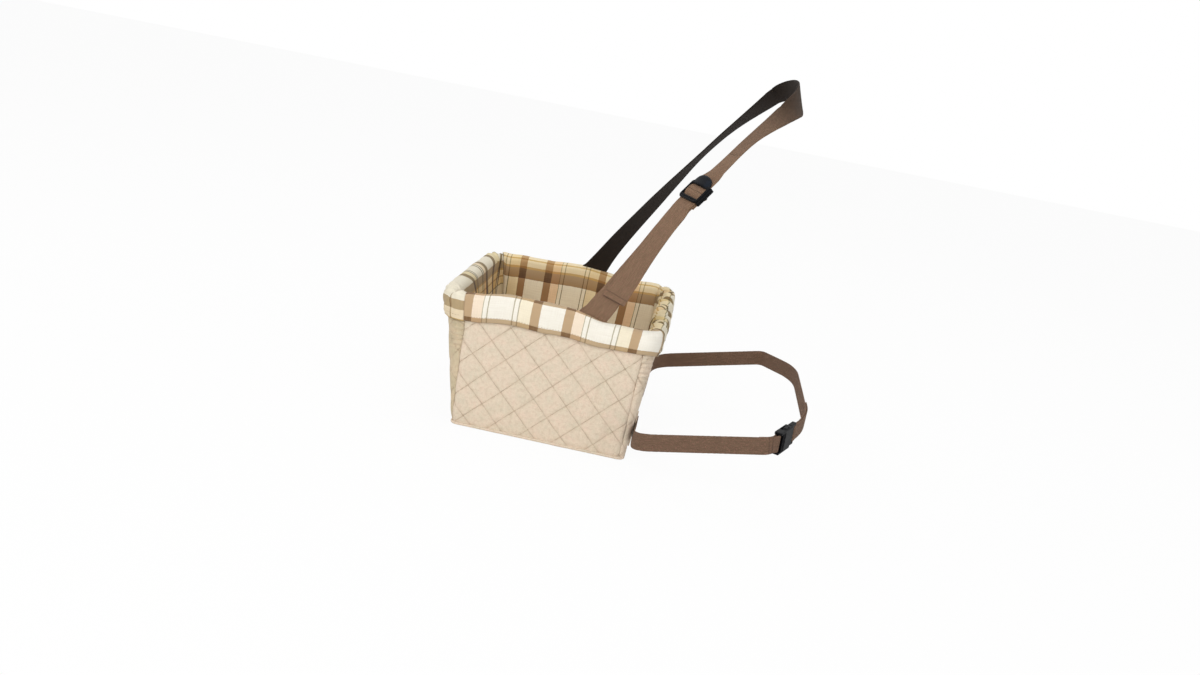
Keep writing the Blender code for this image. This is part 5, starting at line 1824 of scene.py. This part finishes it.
@dataclass
class Tape:
    """A length of flat webbing along stations, with rounded edges and a fine grid."""

    width: float
    thickness: float
    step: float = 0.0030
    columns: int = 10
    slant: float = 0.0
    slant_reach: float = 0.030

    def refined(self, stations: Sequence[Station]) -> list[tuple[Vector, Vector, Vector, float]]:
        """Close and smooth stations.

        Args:
            stations: centres and directions across.

        Returns:
            Rows of centre, direction across, direction out and way along.
        """
        centres = [centre for centre, _ in stations]
        ways = [across for _, across in stations]
        fine: list[tuple[Vector, Vector]] = []
        for index in range(len(centres) - 1):
            p0, p1 = centres[max(index - 1, 0)], centres[index]
            p2, p3 = centres[index + 1], centres[min(index + 2, len(centres) - 1)]
            span = (p2 - p1).length
            count = max(1, ceil(span / self.step))
            leave = (p2 - p0) * (span / max((p2 - p0).length, 1e-9))
            arrive = (p3 - p1) * (span / max((p3 - p1).length, 1e-9))
            for step in range(count):
                t = step / count
                point = (p1 * (2 * t ** 3 - 3 * t ** 2 + 1) + leave * (t ** 3 - 2 * t ** 2 + t)
                         + p2 * (3 * t ** 2 - 2 * t ** 3) + arrive * (t ** 3 - t ** 2))
                fine.append((point, ways[index].lerp(ways[index + 1], t)))
        fine.append((centres[-1], ways[-1]))
        rows, travelled = [], 0.0
        for index, (centre, across) in enumerate(fine):
            before, after = fine[max(index - 1, 0)][0], fine[min(index + 1, len(fine) - 1)][0]
            tangent = (after - before).normalized()
            size = across.length
            across = (across - tangent * across.dot(tangent)).normalized() * size
            rows.append((centre, across, across.cross(tangent).normalized(), travelled))
            travelled += (fine[min(index + 1, len(fine) - 1)][0] - centre).length
        return rows

    def profile(self) -> list[tuple[float, float]]:
        """The tape's section: shares of the half width and the half thickness.

        Returns:
            The section's points.
        """
        half = self.columns // 2
        upper = [(sin(QUARTER * step / half) * 0.985, 1.0) for step in range(-half, half + 1)]
        edge = [(1.0, 0.45), (1.0, -0.45)]
        lower = [(x, -1.0) for x, _ in upper[::-1]]
        return upper + edge + lower + [(-x, -y) for x, y in edge]

    def hem_lines(self, stations: Sequence[Station], back: float) -> list[list[Vector]]:
        """Lines across both faces of the tape, a little way back from its end.

        Args:
            stations: the tape's stations.
            back: how far back from the end.

        Returns:
            The two lines.
        """
        rows = self.refined(stations)
        whole = rows[-1][3]
        centre, across, out, way = min(rows, key=lambda row: abs(whole - back - row[3]))
        lean = out.cross(across).normalized() * self.slant * eased(way, whole - self.slant_reach, whole)
        sides = [(across + lean) * (self.width * 0.46 * step / 8) for step in range(-8, 9)]
        faces = [centre + out * face * (self.thickness / 2 + 0.0001) for face in (-1, 1)]
        return [[middle + side for side in sides] for middle in faces]

    def build(self, name: str, stations: Sequence[Station]) -> Piece:
        """Build the tape along its stations.

        Args:
            name: the piece's name.
            stations: centres and directions across.

        Returns:
            The object.
        """
        rows = self.refined(stations)
        section = self.profile()
        whole = rows[-1][3]
        points, places = [], []
        for centre, across, out, way in rows:
            for x, y in section:
                ripple = 0.00025 * sin(way * TURN / 0.0032) if abs(x) == 1.0 else 0.0
                side = x * self.width / 2 + copysign(ripple, x)
                pull = self.slant * side * eased(way, whole - self.slant_reach, whole)
                skew = out.cross(across).normalized() * pull
                points.append(centre + skew + across * side + out * (y * self.thickness / 2))
                places.append((way, side))
        count = len(section)
        faces = [tuple(range(count)), tuple((len(rows) - 1) * count + column for column in range(count))]
        return make_piece(name, points, faces + ring_faces(len(rows), count), places)


def fold_line(bar_at: float, bar_out: float, bar_radius: float, thickness: float, way: int, load_reach: float,
              back_reach: float, back_side: int) -> list[tuple[float, float]]:
    """A fold of tape round a bar, as the solids have it.

    Args:
        bar_at: the bar's place along the tape.
        bar_out: its place out from it.
        bar_radius: its radius.
        thickness: the tape's thickness.
        way: 1 where the bar lies ahead, -1 where it lies behind.
        load_reach: how long the loaded run is.
        back_reach: how long the sewn return is.
        back_side: the side that the return lies on.

    Returns:
        Points along and out.
    """
    radius = bar_radius + TOUCH_GAP + thickness / 2
    lift = back_side * (thickness + LAYER_GAP)
    ease = 3 * radius
    loaded = [(bar_at - way * (load_reach + (ease - load_reach) * step / 5), 0.0) for step in range(6)]
    turned = []
    for step in range(17):
        turn = pi * (step / 16 - 1 / 2)
        turned.append((bar_at + way * radius * cos(turn), bar_out + back_side * radius * sin(turn)))
    back = [(bar_at - way * (ease + (back_reach - ease) * step / 5), lift) for step in range(6)]
    return loaded + turned + back


@dataclass
class HeadrestStrap:
    """The strap round the headrest's posts, with its anchor strap, its sewn bight and its free tail."""

    cloths: Cloths
    width: float = 0.0381
    thickness: float = 0.0018
    lift: float = 0.0024
    adjuster_share: float = 0.582
    reach: float = 0.030
    steps: int = 36
    tail_end: float = 0.097
    tail_sideways: float = 0.008
    loop_steps: int = 16
    threaded_stations: int = 9
    low_bend: tuple[float, float] = (-0.075, -0.012)
    high_bend: tuple[float, float] = (0.080, 0.020)
    bar_out: float = -0.0032
    bar_radius: float = 0.002
    bight_back: float = 0.024
    # How far back the tail's dark rows lie: the first a painted shadow line at the end, the second the hem's
    # stitching.
    end_shadow_and_hem_backs: tuple[float, float] = (0.0004, 0.0085)
    rod_radius: float = 0.003
    rod_loop_top: float = 0.195

    def at_adjuster(self, along_by: float, out_by: float, across_by: float = 0.0) -> Vector:
        """A point in the adjuster's own frame."""
        centre, along, across, out = NEAR_ROUTE.frame(self.adjuster_share)
        return centre + along * along_by + out * out_by + across * across_by

    def shares(self, start: float, end: float) -> list[float]:
        """Even shares from a start to an end."""
        count = max(1, round(abs(end - start) * self.steps))
        return [start + (end - start) * step / count for step in range(count + 1)]

    def reach_share(self) -> float:
        """The adjuster's reach to one side of its bar, as a share of the way."""
        return (self.reach + TOUCH_GAP) / NEAR_ROUTE.length()

    def low_shares(self) -> list[float]:
        """The shares between the rim and the adjuster."""
        return self.shares(1 / self.steps, self.adjuster_share - self.reach_share() - 1 / self.steps)

    def bend(self, piece: Piece, stretch: tuple[float, float]) -> Piece:
        """Let a tape bend between the box and the adjuster, over a stretch beside the adjuster."""
        start, end = (self.at_adjuster(along, 0) for along in stretch)
        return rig.blend(piece, "box", "adjuster", start, end)

    def anchor(self) -> Piece:
        """The anchor strap with its end sewn back round the adjuster's centre bar.

        Returns:
            The tape, which bends with the adjuster.
        """
        across = NEAR_ROUTE.frame(self.adjuster_share)[2]
        stations = NEAR_ROUTE.foot() + [NEAR_ROUTE.station(share) for share in self.low_shares()]
        stations.append((self.at_adjuster(-self.reach - TOUCH_GAP, 0), across))
        line = fold_line(0, self.bar_out, self.bar_radius, self.thickness, 1, self.reach, self.bight_back, -1)
        stations += [(self.at_adjuster(along, out), across) for along, out in line]
        piece = Tape(self.width, self.thickness).build("anchor_strap", stations)
        self.finish(piece, "anchor_strap_near", "anchor_strap_bight")
        return self.bend(piece, self.low_bend)

    def finish(self, piece: Piece, *nodes: str) -> None:
        """Give a tape its finish and the solids that it stands for."""
        # The loop takes the webbing with painted shade.
        piece.data.materials.append(self.cloths.loop_tape if "head_strap_loop" in nodes else self.cloths.tape)
        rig.slot(piece, "webbing")
        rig.replaces(piece, *nodes)

    def lower(self) -> Piece:
        """The strap from the adjuster's centre bar down to the end of its free tail.

        Returns:
            The tape, which bends with the adjuster.
        """
        stations = self.crown(-1)
        for share in self.low_shares()[::-1] + [self.tail_end]:
            if share >= self.tail_end:
                part = (self.adjuster_share - share) / (self.adjuster_share - self.tail_end)
                stations.append(NEAR_ROUTE.station(share, self.lift, self.tail_sideways * part))
        tape = Tape(self.width, self.thickness, slant=-0.17)
        piece = tape.build("strap_tail_tape", stations)
        self.finish(piece, "strap_tail")
        # Dark thread in almost solid rows across both faces: the row at the very end stands in for the shadow under
        # the hem's edge, the other is the hem's stitching.
        lines = [line for back in self.end_shadow_and_hem_backs for line in tape.hem_lines(stations, back)]
        stitching = Stitching(0.0020, 0.0021, 0.0010)
        stitching.sew("strap_tail_stitches", lines, self.cloths.dark_thread, "webbing")
        return self.bend(piece, self.low_bend)

    def upper(self) -> Piece:
        """The strap from the adjuster's centre bar to the near post.

        Returns:
            The tape, which bends with the adjuster.
        """
        stations = self.upper_stations()[:self.threaded_stations]
        piece = Tape(self.width, self.thickness).build("head_strap_tape", stations)
        self.finish(piece, "threaded_strap")
        return self.bend(piece, self.high_bend)

    def crown(self, way: int) -> list[Station]:
        """The stations of the webbing's bulge in the adjuster's window, to one side of the centre bar."""
        across = NEAR_ROUTE.frame(self.adjuster_share)[2]
        rows = ((0.0002, 0.0031), (0.0035, 0.0029), (0.0070, 0.0019), (0.0105, 0.0003), (self.reach, 0.0))
        return [(self.at_adjuster(way * along, self.lift + rise), across) for along, rise in rows]

    def upper_stations(self) -> list[Station]:
        """The stations from the adjuster's centre bar up to the near post."""
        high = self.shares(self.adjuster_share + self.reach_share() + 1 / self.steps, 1)
        return self.crown(1) + [NEAR_ROUTE.station(share, self.lift) for share in high]

    def round_posts(self) -> Piece:
        """The strap on from there, round the headrest's posts and down to the far rim.

        Returns:
            The tape.
        """
        stations = self.upper_stations()[self.threaded_stations - 1:]
        far = [FAR_ROUTE.station(share) for share in self.shares(1 / self.steps, 1)][::-1]
        near_end, far_end = stations[-1], far[0]
        backward = Vector((0, 0.026, 0.022))
        middle_across = Vector((0, 0.33, -1)).normalized()
        for step in range(1, self.loop_steps):
            turn = pi * step / self.loop_steps
            centre = near_end[0].lerp(far_end[0], (1 - cos(turn)) / 2) + backward * sin(turn)
            side = near_end[1] if step * 2 < self.loop_steps else far_end[1]
            stations.append((centre, side.lerp(middle_across, sin(turn))))
        stations += far + FAR_ROUTE.foot()[::-1]
        piece = Tape(self.width, self.thickness).build("headrest_loop_tape", stations)
        self.finish(piece, "head_strap_near", "head_strap_loop", "head_strap_far")
        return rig.ride(piece, "box")

    def rod_loop(self, route: StrapRoute, side: str) -> Piece:
        """The webbing loop round the rim rod that holds the strap's foot.

        Args:
            route: the route whose foot it holds.
            side: the side's name.

        Returns:
            The tape.
        """
        radius = self.rod_radius + TOUCH_GAP + self.thickness / 2
        leg = self.thickness + LAYER_GAP
        turns = [pi * (1 + step / 12) for step in range(13)]
        line = [(-leg, self.rod_loop_top), (-leg, route.foot_height)]
        line += [(radius * cos(turn), route.rod_height + radius * sin(turn)) for turn in turns]
        line += [(leg, route.foot_height), (leg, self.rod_loop_top)]
        run = route.frame(0)[1]
        rim = route.rim()
        setback = rim.y - (rim.z - route.foot_height) * run.y / run.z
        stations = [(Vector((rim.x + along, setback, out)), Vector((0, 1, 0))) for along, out in line]
        piece = Tape(self.width, self.thickness).build(f"rod_loop_{side}_tape", stations)
        self.finish(piece, f"rod_loop_{side}")
        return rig.ride(piece, "box")

    def build(self) -> None:
        """Build every length of the strap."""
        self.anchor()
        self.lower()
        Adjuster(self).build()
        self.upper()
        self.round_posts()
        self.rod_loop(NEAR_ROUTE, "near")
        self.rod_loop(FAR_ROUTE, "far")


@dataclass
class Adjuster:
    """The headrest strap's moulded adjuster: a ridged frame, its bars and a domed lift tab."""

    strap: HeadrestStrap
    half: float = 0.0212
    low: float = -0.0160
    high: float = 0.0140
    corner: float = 0.0040
    top: float = 0.0054
    bar: float = 0.0019
    bar_proud: float = 0.0018
    rail_side: float = 0.0009
    rail_proud: float = 0.001
    rod_sizes: Table = (
        (0.0, 0.35), (0.01, 0.7), (0.03, 0.92), (0.08, 1), (0.5, 1), (0.92, 1), (0.97, 0.92), (0.99, 0.7),
        (1.0, 0.35),
    )
    tab_rings: Table = (
        (0.86, -0.0018), (0.97, -0.0012), (1.0, 0.0), (0.96, 0.0011), (0.86, 0.0020), (0.68, 0.0029),
        (0.45, 0.0036), (0.2, 0.0040),
    )
    tab_half: float = 0.0205
    tab_reach: float = 0.0132
    tab_root: float = 0.0042
    tab_sides: int = 40

    def ring(self) -> list[Vector]:
        """The rounded loop of the frame's upper ridge.

        Returns:
            The points.
        """
        points = []
        middle, reach = (self.low + self.high) / 2, (self.high - self.low) / 2
        for quarter, (way, side) in enumerate(((1, 1), (-1, 1), (-1, -1), (1, -1))):
            for step in range(7):
                turn = QUARTER * (quarter + step / 6)
                along = middle + way * (reach - self.corner) + self.corner * cos(turn)
                across = side * (self.half - self.corner) + self.corner * sin(turn)
                points.append(self.strap.at_adjuster(along, self.top, across))
        return points

    def rod(self, name: str, start: Spot, end: Spot, radius: float) -> Piece:
        """A rod with rounded ends.

        Args:
            name: the piece's name.
            start: where it starts, in the adjuster's own frame.
            end: where it ends.
            radius: its radius.

        Returns:
            The object.
        """
        places = [[a + (b - a) * share for a, b in zip(start, end)] for share, _ in self.rod_sizes]
        points = [self.strap.at_adjuster(*place) for place in places]
        return tube(name, points, radius, sides=12, radii=[radius * size for _, size in self.rod_sizes])

    def dome(self) -> Piece:
        """The lift tab: a domed half ellipse that rises towards its tip.

        Returns:
            The tab.
        """
        rings = []
        for share, rise in self.tab_rings:
            ring = []
            for step in range(self.tab_sides):
                turn = TURN * step / self.tab_sides
                across = self.tab_half * copysign(abs(cos(turn)) ** 0.8, cos(turn))
                reach = (self.tab_reach if sin(turn) > 0 else self.tab_root) * sin(turn)
                along = self.high + (reach + 0.002) * share - 0.002
                lift = 0.0030 * max(0.0, (along - 0.0133) / 0.0125) ** 2
                ring.append(self.strap.at_adjuster(along, self.top + rise + lift, across * share))
            rings.append(ring)
        return filled_rings("adjuster_tab", rings)

    def build(self) -> None:
        """Build the adjuster's pieces on its own body."""
        plastic = self.strap.cloths.plastic
        frame_ring = tube("adjuster_frame", self.ring(), self.bar, closed=True, sides=12)
        dress(frame_ring, plastic, "adjuster", "black_plastic", "strap_adjuster")
        bars = (("grip", -0.0127, 0.0053, self.half, 0.0018),
                ("upper_bar", 0.0112, 0.0055, self.half, 0.0018),
                ("centre_bar", 0.0, self.strap.bar_out, self.half + self.bar_proud, self.bar))
        rods = [(name, (along, out, -half), (along, out, half), radius)
                for name, along, out, half, radius in bars]
        low, high = self.low - self.rail_proud, self.high + self.rail_proud
        for side, end in ((-1, "far"), (1, "near")):
            wide = side * (self.half + self.rail_side)
            rods += [(f"{kind}_{end}", (low, out, wide), (high, out, wide), radius)
                     for kind, out, radius in (("rail", 0.0024, 0.0020), ("sill", -0.0010, 0.0021))]
        for name, first, last, radius in rods:
            piece = self.rod(f"adjuster_{name}", first, last, radius)
            dress(piece, plastic, "adjuster", "black_plastic")
        dress(self.dome(), self.strap.cloths.tab, "adjuster", "black_plastic")


class BeltRoute:
    """The belt's way from the rear wall round the backrest and back, by distance along it."""

    start: float = 0.095
    patch_height: float = 0.036
    first_run: float = 0.141
    bend_steps: int = 6
    least_step: float = 0.0016
    belt_thickness: float = 0.0016
    patch_thickness: float = 0.002

    def __init__(self) -> None:
        """Round the belt's corners and mark the distances."""
        half = [
            Vector((self.start, self.wall(self.patch_height), self.patch_height)),
            Vector((0.236, self.wall(0.053), 0.053)),
            Vector((0.252, 0.336, 0.097)), Vector((0.140, 0.389, 0.108)),
        ]
        corners = half + [Vector((-point.x, point.y, point.z)) for point in half[::-1]]
        bends = (0, 0.035, 0.012, 0.050, 0.050, 0.012, 0.035, 0)
        self.lean = Vector((0, PLAN.rear_flare, PLAN.height)).normalized()
        self.wall_out = Vector((0, PLAN.height, -PLAN.rear_flare)).normalized()
        self.wall_run = PLAN.base_width / 2 - self.start
        leave = self.wall_run / self.first_run
        self.points = [corners[0], corners[0].lerp(corners[1], leave)]
        for before, point, after, bend in zip(corners, corners[1:], corners[2:], bends[1:]):
            start = point + (before - point).normalized() * bend
            end = point + (after - point).normalized() * bend
            for step in range(self.bend_steps + 1):
                part = step / self.bend_steps
                self.points.append(start.lerp(point, part).lerp(point.lerp(end, part), part))
        self.points += [corners[-1].lerp(corners[-2], leave), corners[-1]]
        self.marks = [0.0]
        for first, last in zip(self.points, self.points[1:]):
            self.marks.append(self.marks[-1] + (last - first).length)

    def wall(self, height: float) -> float:
        """Where the belt's centre lies on its patch on the rear wall."""
        return PLAN.rear(height) + self.patch_thickness + self.belt_thickness / 2 + LAYER_GAP

    def length(self) -> float:
        """The belt's whole length."""
        return self.marks[-1]

    def tangent(self, index: int) -> Vector:
        """The direction of the belt at one of its points."""
        before = self.points[max(index - 1, 0)]
        after = self.points[min(index + 1, len(self.points) - 1)]
        return (after - before).normalized()

    def frame(self, distance: float) -> Axes:
        """Centre, along, across and out at a distance along the belt.

        Args:
            distance: the distance along the belt.

        Returns:
            Centre, along, across and out.
        """
        last = len(self.points) - 2
        index = next((i for i in range(last) if self.marks[i + 1] >= distance), last)
        part = (distance - self.marks[index]) / (self.marks[index + 1] - self.marks[index])
        centre = self.points[index].lerp(self.points[index + 1], part)
        along = self.tangent(index).lerp(self.tangent(index + 1), part).normalized()
        off_wall = max(0.0, min(distance, self.length() - distance) - self.wall_run) / 0.035
        wish = self.lean.lerp(UP, min(1.0, off_wall))
        across = (wish - along * wish.dot(along)).normalized()
        return centre, along, across, along.cross(across)

    def stations(self, start: float, end: float, lift: float = 0.0) -> list[Station]:
        """Tape stations between two distances."""
        low, high = start + self.least_step, end - self.least_step
        marks = [start] + [mark for mark in self.marks if low < mark < high] + [end]
        return self.folded(0.0, [(mark, lift) for mark in marks])

    def folded(self, origin: float, line: Table) -> list[Station]:
        """Tape stations on a fold whose points lie along and out from the belt at an origin.

        Args:
            origin: the distance along the belt.
            line: the fold's points.

        Returns:
            The stations.
        """
        made = []
        for along, out_by in line:
            centre, _, across, out = self.frame(origin + along)
            made.append((centre + out * out_by, across))
        return made

    def buckle_start(self) -> float:
        """Where the buckle begins."""
        return self.marks[15] + 0.002


@dataclass
class BackrestBelt:
    """The belt round the backrest: its two halves with sewn ends, its free tail and its patches."""

    cloths: Cloths
    width: float = 0.0254
    thickness: float = BeltRoute.belt_thickness
    fold: float = 0.034
    tongue_end: float = 0.0586
    bar: float = 0.0015
    tail: float = 0.085
    seam_backs: tuple[float, float] = (0.010, 0.0155)
    patch_middle: float = 0.120
    patch_half: float = 0.025
    rib_reaches: tuple[float, float, float] = (0.0065, 0.0105, 0.0145)
    rib_out: float = 0.0060
    rib_half: float = 0.0145
    rib_radii: tuple[float, ...] = (0.0004, 0.0009) + (0.0010,) * 5 + (0.0009, 0.0004)
    route: BeltRoute = field(default_factory=BeltRoute)

    def halves(self) -> None:
        """The near and far half, each with its end sewn back round its bar, and the tail."""
        start = self.route.buckle_start()
        radius = 0.003 / sqrt(2)
        tape = Tape(self.width, self.thickness, 0.004, 8)
        line = fold_line(self.bar, 0, radius, self.thickness, 1, self.fold, self.fold * 0.9, -1)
        stations = self.route.stations(0, start + self.bar - self.fold - TOUCH_GAP)
        near = tape.build("belt_near_tape", stations + self.route.folded(start, line))
        end = start + self.tongue_end
        line = fold_line(-self.bar, 0, radius, self.thickness, -1, self.fold, self.fold, 1)
        far_start = end - self.bar + self.fold + TOUCH_GAP
        stations = self.route.stations(far_start, self.route.length())
        far = tape.build("belt_far_tape", stations[::-1] + self.route.folded(end, line))
        stations = self.route.stations(far_start, far_start + self.tail, self.thickness + LAYER_GAP)
        tail = tape.build("belt_tail_tape", stations)
        dress(near, self.cloths.belt_tape, "box", "webbing", "belt_near", "belt_fold_near")
        dress(far, self.cloths.belt_tape, "box", "webbing", "belt_far", "belt_fold_far")
        dress(tail, self.cloths.belt_tape, "box", "webbing", "belt_tail")
        lines = [line for back in self.seam_backs
                 for line in tape.hem_lines(self.route.stations(0, start - back), 0.0)
                 + tape.hem_lines(self.route.stations(self.route.length() * 0.5, end + back), 0.0)]
        Stitching(0.0028, 0.0024, 0.0009).sew("belt_stitches", lines, self.cloths.dark_thread, "webbing")

    def patch(self, side: int, name: str) -> Piece:
        """The padded patch that holds one end of the belt on the cover's rear.

        Args:
            side: 1 for near, -1 for far.
            name: the solid that it stands for.

        Returns:
            The patch.
        """
        height, thickness = self.route.patch_height, self.route.patch_thickness
        middle = Vector((side * self.patch_middle, PLAN.rear(height) + TOUCH_GAP + thickness / 2, height))
        shares = (-1, -0.5, 0, 0.5, 1)
        stations = [(middle + ACROSS * self.patch_half * share, self.route.lean) for share in shares]
        piece = Tape(0.042, thickness, 0.0025, 12).build(f"{name}_cloth", stations)
        return dress(piece, self.cloths.suede, "box", "suede", name)

    def ribs(self) -> None:
        """The moulded ribs on the buckle socket's two broad faces."""
        start = self.route.buckle_start()
        for face, side in ((1, "outer"), (-1, "inner")):
            for index, reach in enumerate(self.rib_reaches):
                centre, along, across, out = self.route.frame(start + 0.002)
                middle = centre + along * (reach - 0.002)
                points = [middle + out * face * self.rib_out + across * self.rib_half * step / 4
                          for step in range(-4, 5)]
                rib = tube(f"socket_{side}_rib_{index}", points, 0.001, sides=10, radii=self.rib_radii)
                dress(rib, self.cloths.plastic, "box", "black_plastic")

    def build(self) -> None:
        """Build the belt and its patches."""
        self.halves()
        self.ribs()
        self.patch(1, "belt_patch_near")
        self.patch(-1, "belt_patch_far")


@dataclass
class Tether:
    """The webbing tab inside the rear wall and its D ring."""

    cloths: Cloths
    height: float = 0.128
    width: float = 0.020
    thickness: float = 0.0014
    length: float = 0.028
    wire: float = 0.0018

    def build(self) -> None:
        """Build the tab."""
        wall = Vector((0, PLAN.rear(self.height) - PlaidLiner.inside, self.height))
        lean = Vector((0, PLAN.rear_flare, PLAN.height)).normalized()
        out_way = Vector((0, PLAN.height, -PLAN.rear_flare)).normalized()
        radius = self.wire + TOUCH_GAP + self.thickness / 2
        base = self.thickness / 2 + TOUCH_GAP
        line = fold_line(0, radius, self.wire, self.thickness, -1, self.length, self.length, 1)
        stations = [(wall + lean * along - out_way * (base + out), ACROSS) for along, out in line]
        piece = Tape(self.width, self.thickness, 0.002, 8).build("tether_tab_tape", stations)
        dress(piece, self.cloths.tape, "box", "webbing", "tether_tab")


@dataclass
class InnerFrame:
    """What the walls hold: foam boards, the base board and the rod frame, and the solids that stay."""

    cloths: Cloths
    foam_round: float = 0.0015

    def foam(self, wall: Wall) -> Piece:
        """The foam board inside one wall.

        Args:
            wall: the wall.

        Returns:
            The padded board.
        """
        name = f"foam_{wall.name.lower()}_board"
        work = bmesh.new()
        work.from_mesh(frame["nodes"][name].data)
        bmesh.ops.remove_doubles(work, verts=work.verts, dist=1e-6)
        bmesh.ops.dissolve_limit(work, angle_limit=0.02, verts=work.verts, edges=work.edges)
        edges = work.edges[:]
        bmesh.ops.bevel(work, geom=edges, offset=self.foam_round, segments=2, profile=0.5, affect="EDGES")
        bmesh.ops.recalc_face_normals(work, faces=work.faces)
        mesh = bpy.data.meshes.new(f"{name}_cut")
        work.to_mesh(mesh)
        work.free()
        piece = dress(placed(f"{name}_cut", mesh), self.cloths.foam, "box", "foam", name)
        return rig.padded(piece, fill=1.0)

    def build(self) -> None:
        """Build the boards and dress the solids that stay."""
        for wall in Wall:
            self.foam(wall)
        finishes = {
            self.cloths.steel: ("rim_rod", "base_rod", "tether_ring", "corner_post_front_near",
                                "corner_post_front_far", "corner_post_rear_near", "corner_post_rear_far"),
            self.cloths.board: ("base_board",),
            self.cloths.plastic: ("buckle_socket", "buckle_tongue", "buckle_arm_upper", "buckle_arm_lower"),
        }
        for material, nodes in finishes.items():
            for node in nodes:
                for slot in frame["nodes"][node].material_slots:
                    slot.material = material


@dataclass
class Studio:
    """The plain pale floor, the soft lights and the camera at the photograph's angle."""

    camera_at: Vector = field(default_factory=lambda: Vector((1.7601, 0.1635, 0.5832)))
    right: Vector = field(default_factory=lambda: Vector((-0.10818, 0.97657, 0.18603)))
    up: Vector = field(default_factory=lambda: Vector((-0.2292, -0.20658, 0.9512)))
    lens: float = 33.6
    floor_reach: float = 9.0
    floor_height: float = -0.0004
    aim: Spot = (0, 0.05, 0.15)
    lamps: tuple[tuple[str, Spot, float, float], ...] = (
        ("key", (2.6, -1.2, 1.9), 1.8, 46), ("fill", (2.2, 2.0, 1.2), 2.2, 18),
        ("top", (-0.6, 0.2, 3.0), 2.6, 26),
    )

    def floor(self) -> None:
        """A wide pale floor, white where it is looked at, that keeps the seat's soft shadow."""
        bench = Bench("pale_floor")
        bench.finish(srgb(240, 240, 239), 0.95)
        white = bench.node("ShaderNodeEmission", {}, {"Color": (1.0, 1.0, 1.0), "Strength": 1.0}, "Emission")
        base = Wire(bench, bench.shader.outputs["BSDF"])
        share = bench.seen() * FLOOR_WHITE_SHARE
        mixed = bench.node("ShaderNodeMixShader", {}, {0: share, 1: base, 2: white})
        bench.tree.links.new(mixed.socket, bench.tree.nodes["Material Output"].inputs["Surface"])
        mesh = bpy.data.meshes.new("floor")
        corners = [(x * self.floor_reach, y * self.floor_reach, self.floor_height)
                   for x, y in ((-1, -1), (1, -1), (1, 1), (-1, 1))]
        mesh.from_pydata(corners, [], [(0, 1, 2, 3)])
        mesh.materials.append(bench.material)
        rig.stage(placed("floor", mesh))

    @staticmethod
    def surroundings() -> None:
        """Soft light from all round, white where the camera, a mirror or glass sees it."""
        bench = Bench("studio", world=True)
        bench.feed(bench.shader.inputs["Color"], (1.0, 1.0, 1.0))
        strength = bench.node("ShaderNodeMapRange", {}, {"Value": bench.seen(), "To Min": WORLD_LIGHT})
        bench.feed(bench.shader.inputs["Strength"], strength)
        bpy.context.scene.world = bench.material

    def light(self, name: str, place: Vector, size: float, power: float) -> None:
        """One soft square light.

        Args:
            name: the light's name.
            place: where it stands.
            size: its side.
            power: its power.
        """
        lamp = bpy.data.lights.new(name, "AREA")
        lamp.shape = "SQUARE"
        lamp.size = size
        lamp.energy = power
        made = placed(name, lamp)
        made.location = place
        made.rotation_mode = "QUATERNION"
        made.rotation_quaternion = (Vector(self.aim) - place).to_track_quat("-Z", "Y")

    def build(self) -> None:
        """Build the floor, the lights, the world and the camera."""
        self.floor()
        for name, place, size, power in self.lamps:
            self.light(name, Vector(place), size, power)
        self.surroundings()
        bpy.context.scene.view_settings.view_transform = "Standard"
        lens = bpy.data.cameras.new("camera")
        lens.lens = self.lens
        lens.sensor_width = 36
        lens.clip_start, lens.clip_end = 0.05, 30
        made = placed("camera", lens)
        right = self.right.normalized()
        up = (self.up - right * self.up.dot(right)).normalized()
        turn = Matrix((right, up, right.cross(up))).transposed().to_4x4()
        turn.translation = self.camera_at
        made.matrix_world = turn
        bpy.context.scene.camera = made


def write_sizes() -> None:
    """Write the solids' box and the dressed box, as plain lists."""
    boxes = {"solids": [list(corner) for corner in SOLIDS_BOX], "dressed": [list(corner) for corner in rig.bounds()]}
    with open("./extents.json", "w", encoding="utf-8") as file:
        json.dump(boxes, file, indent=1)


def main() -> None:
    """Build the seat piece by piece."""
    logging.basicConfig(level=logging.INFO, format="%(name)s: %(message)s")
    cloths = Cloths()
    Studio().build()
    log.info("studio ready")
    for piece in (QuiltedCover(cloths), PlaidLiner(cloths), FloorCushion(cloths), HeadrestStrap(cloths),
                  BackrestBelt(cloths), Tether(cloths), InnerFrame(cloths)):
        piece.build()
        log.info("%s built", type(piece).__name__)
    write_sizes()


if __name__ == "__main__":
    main()
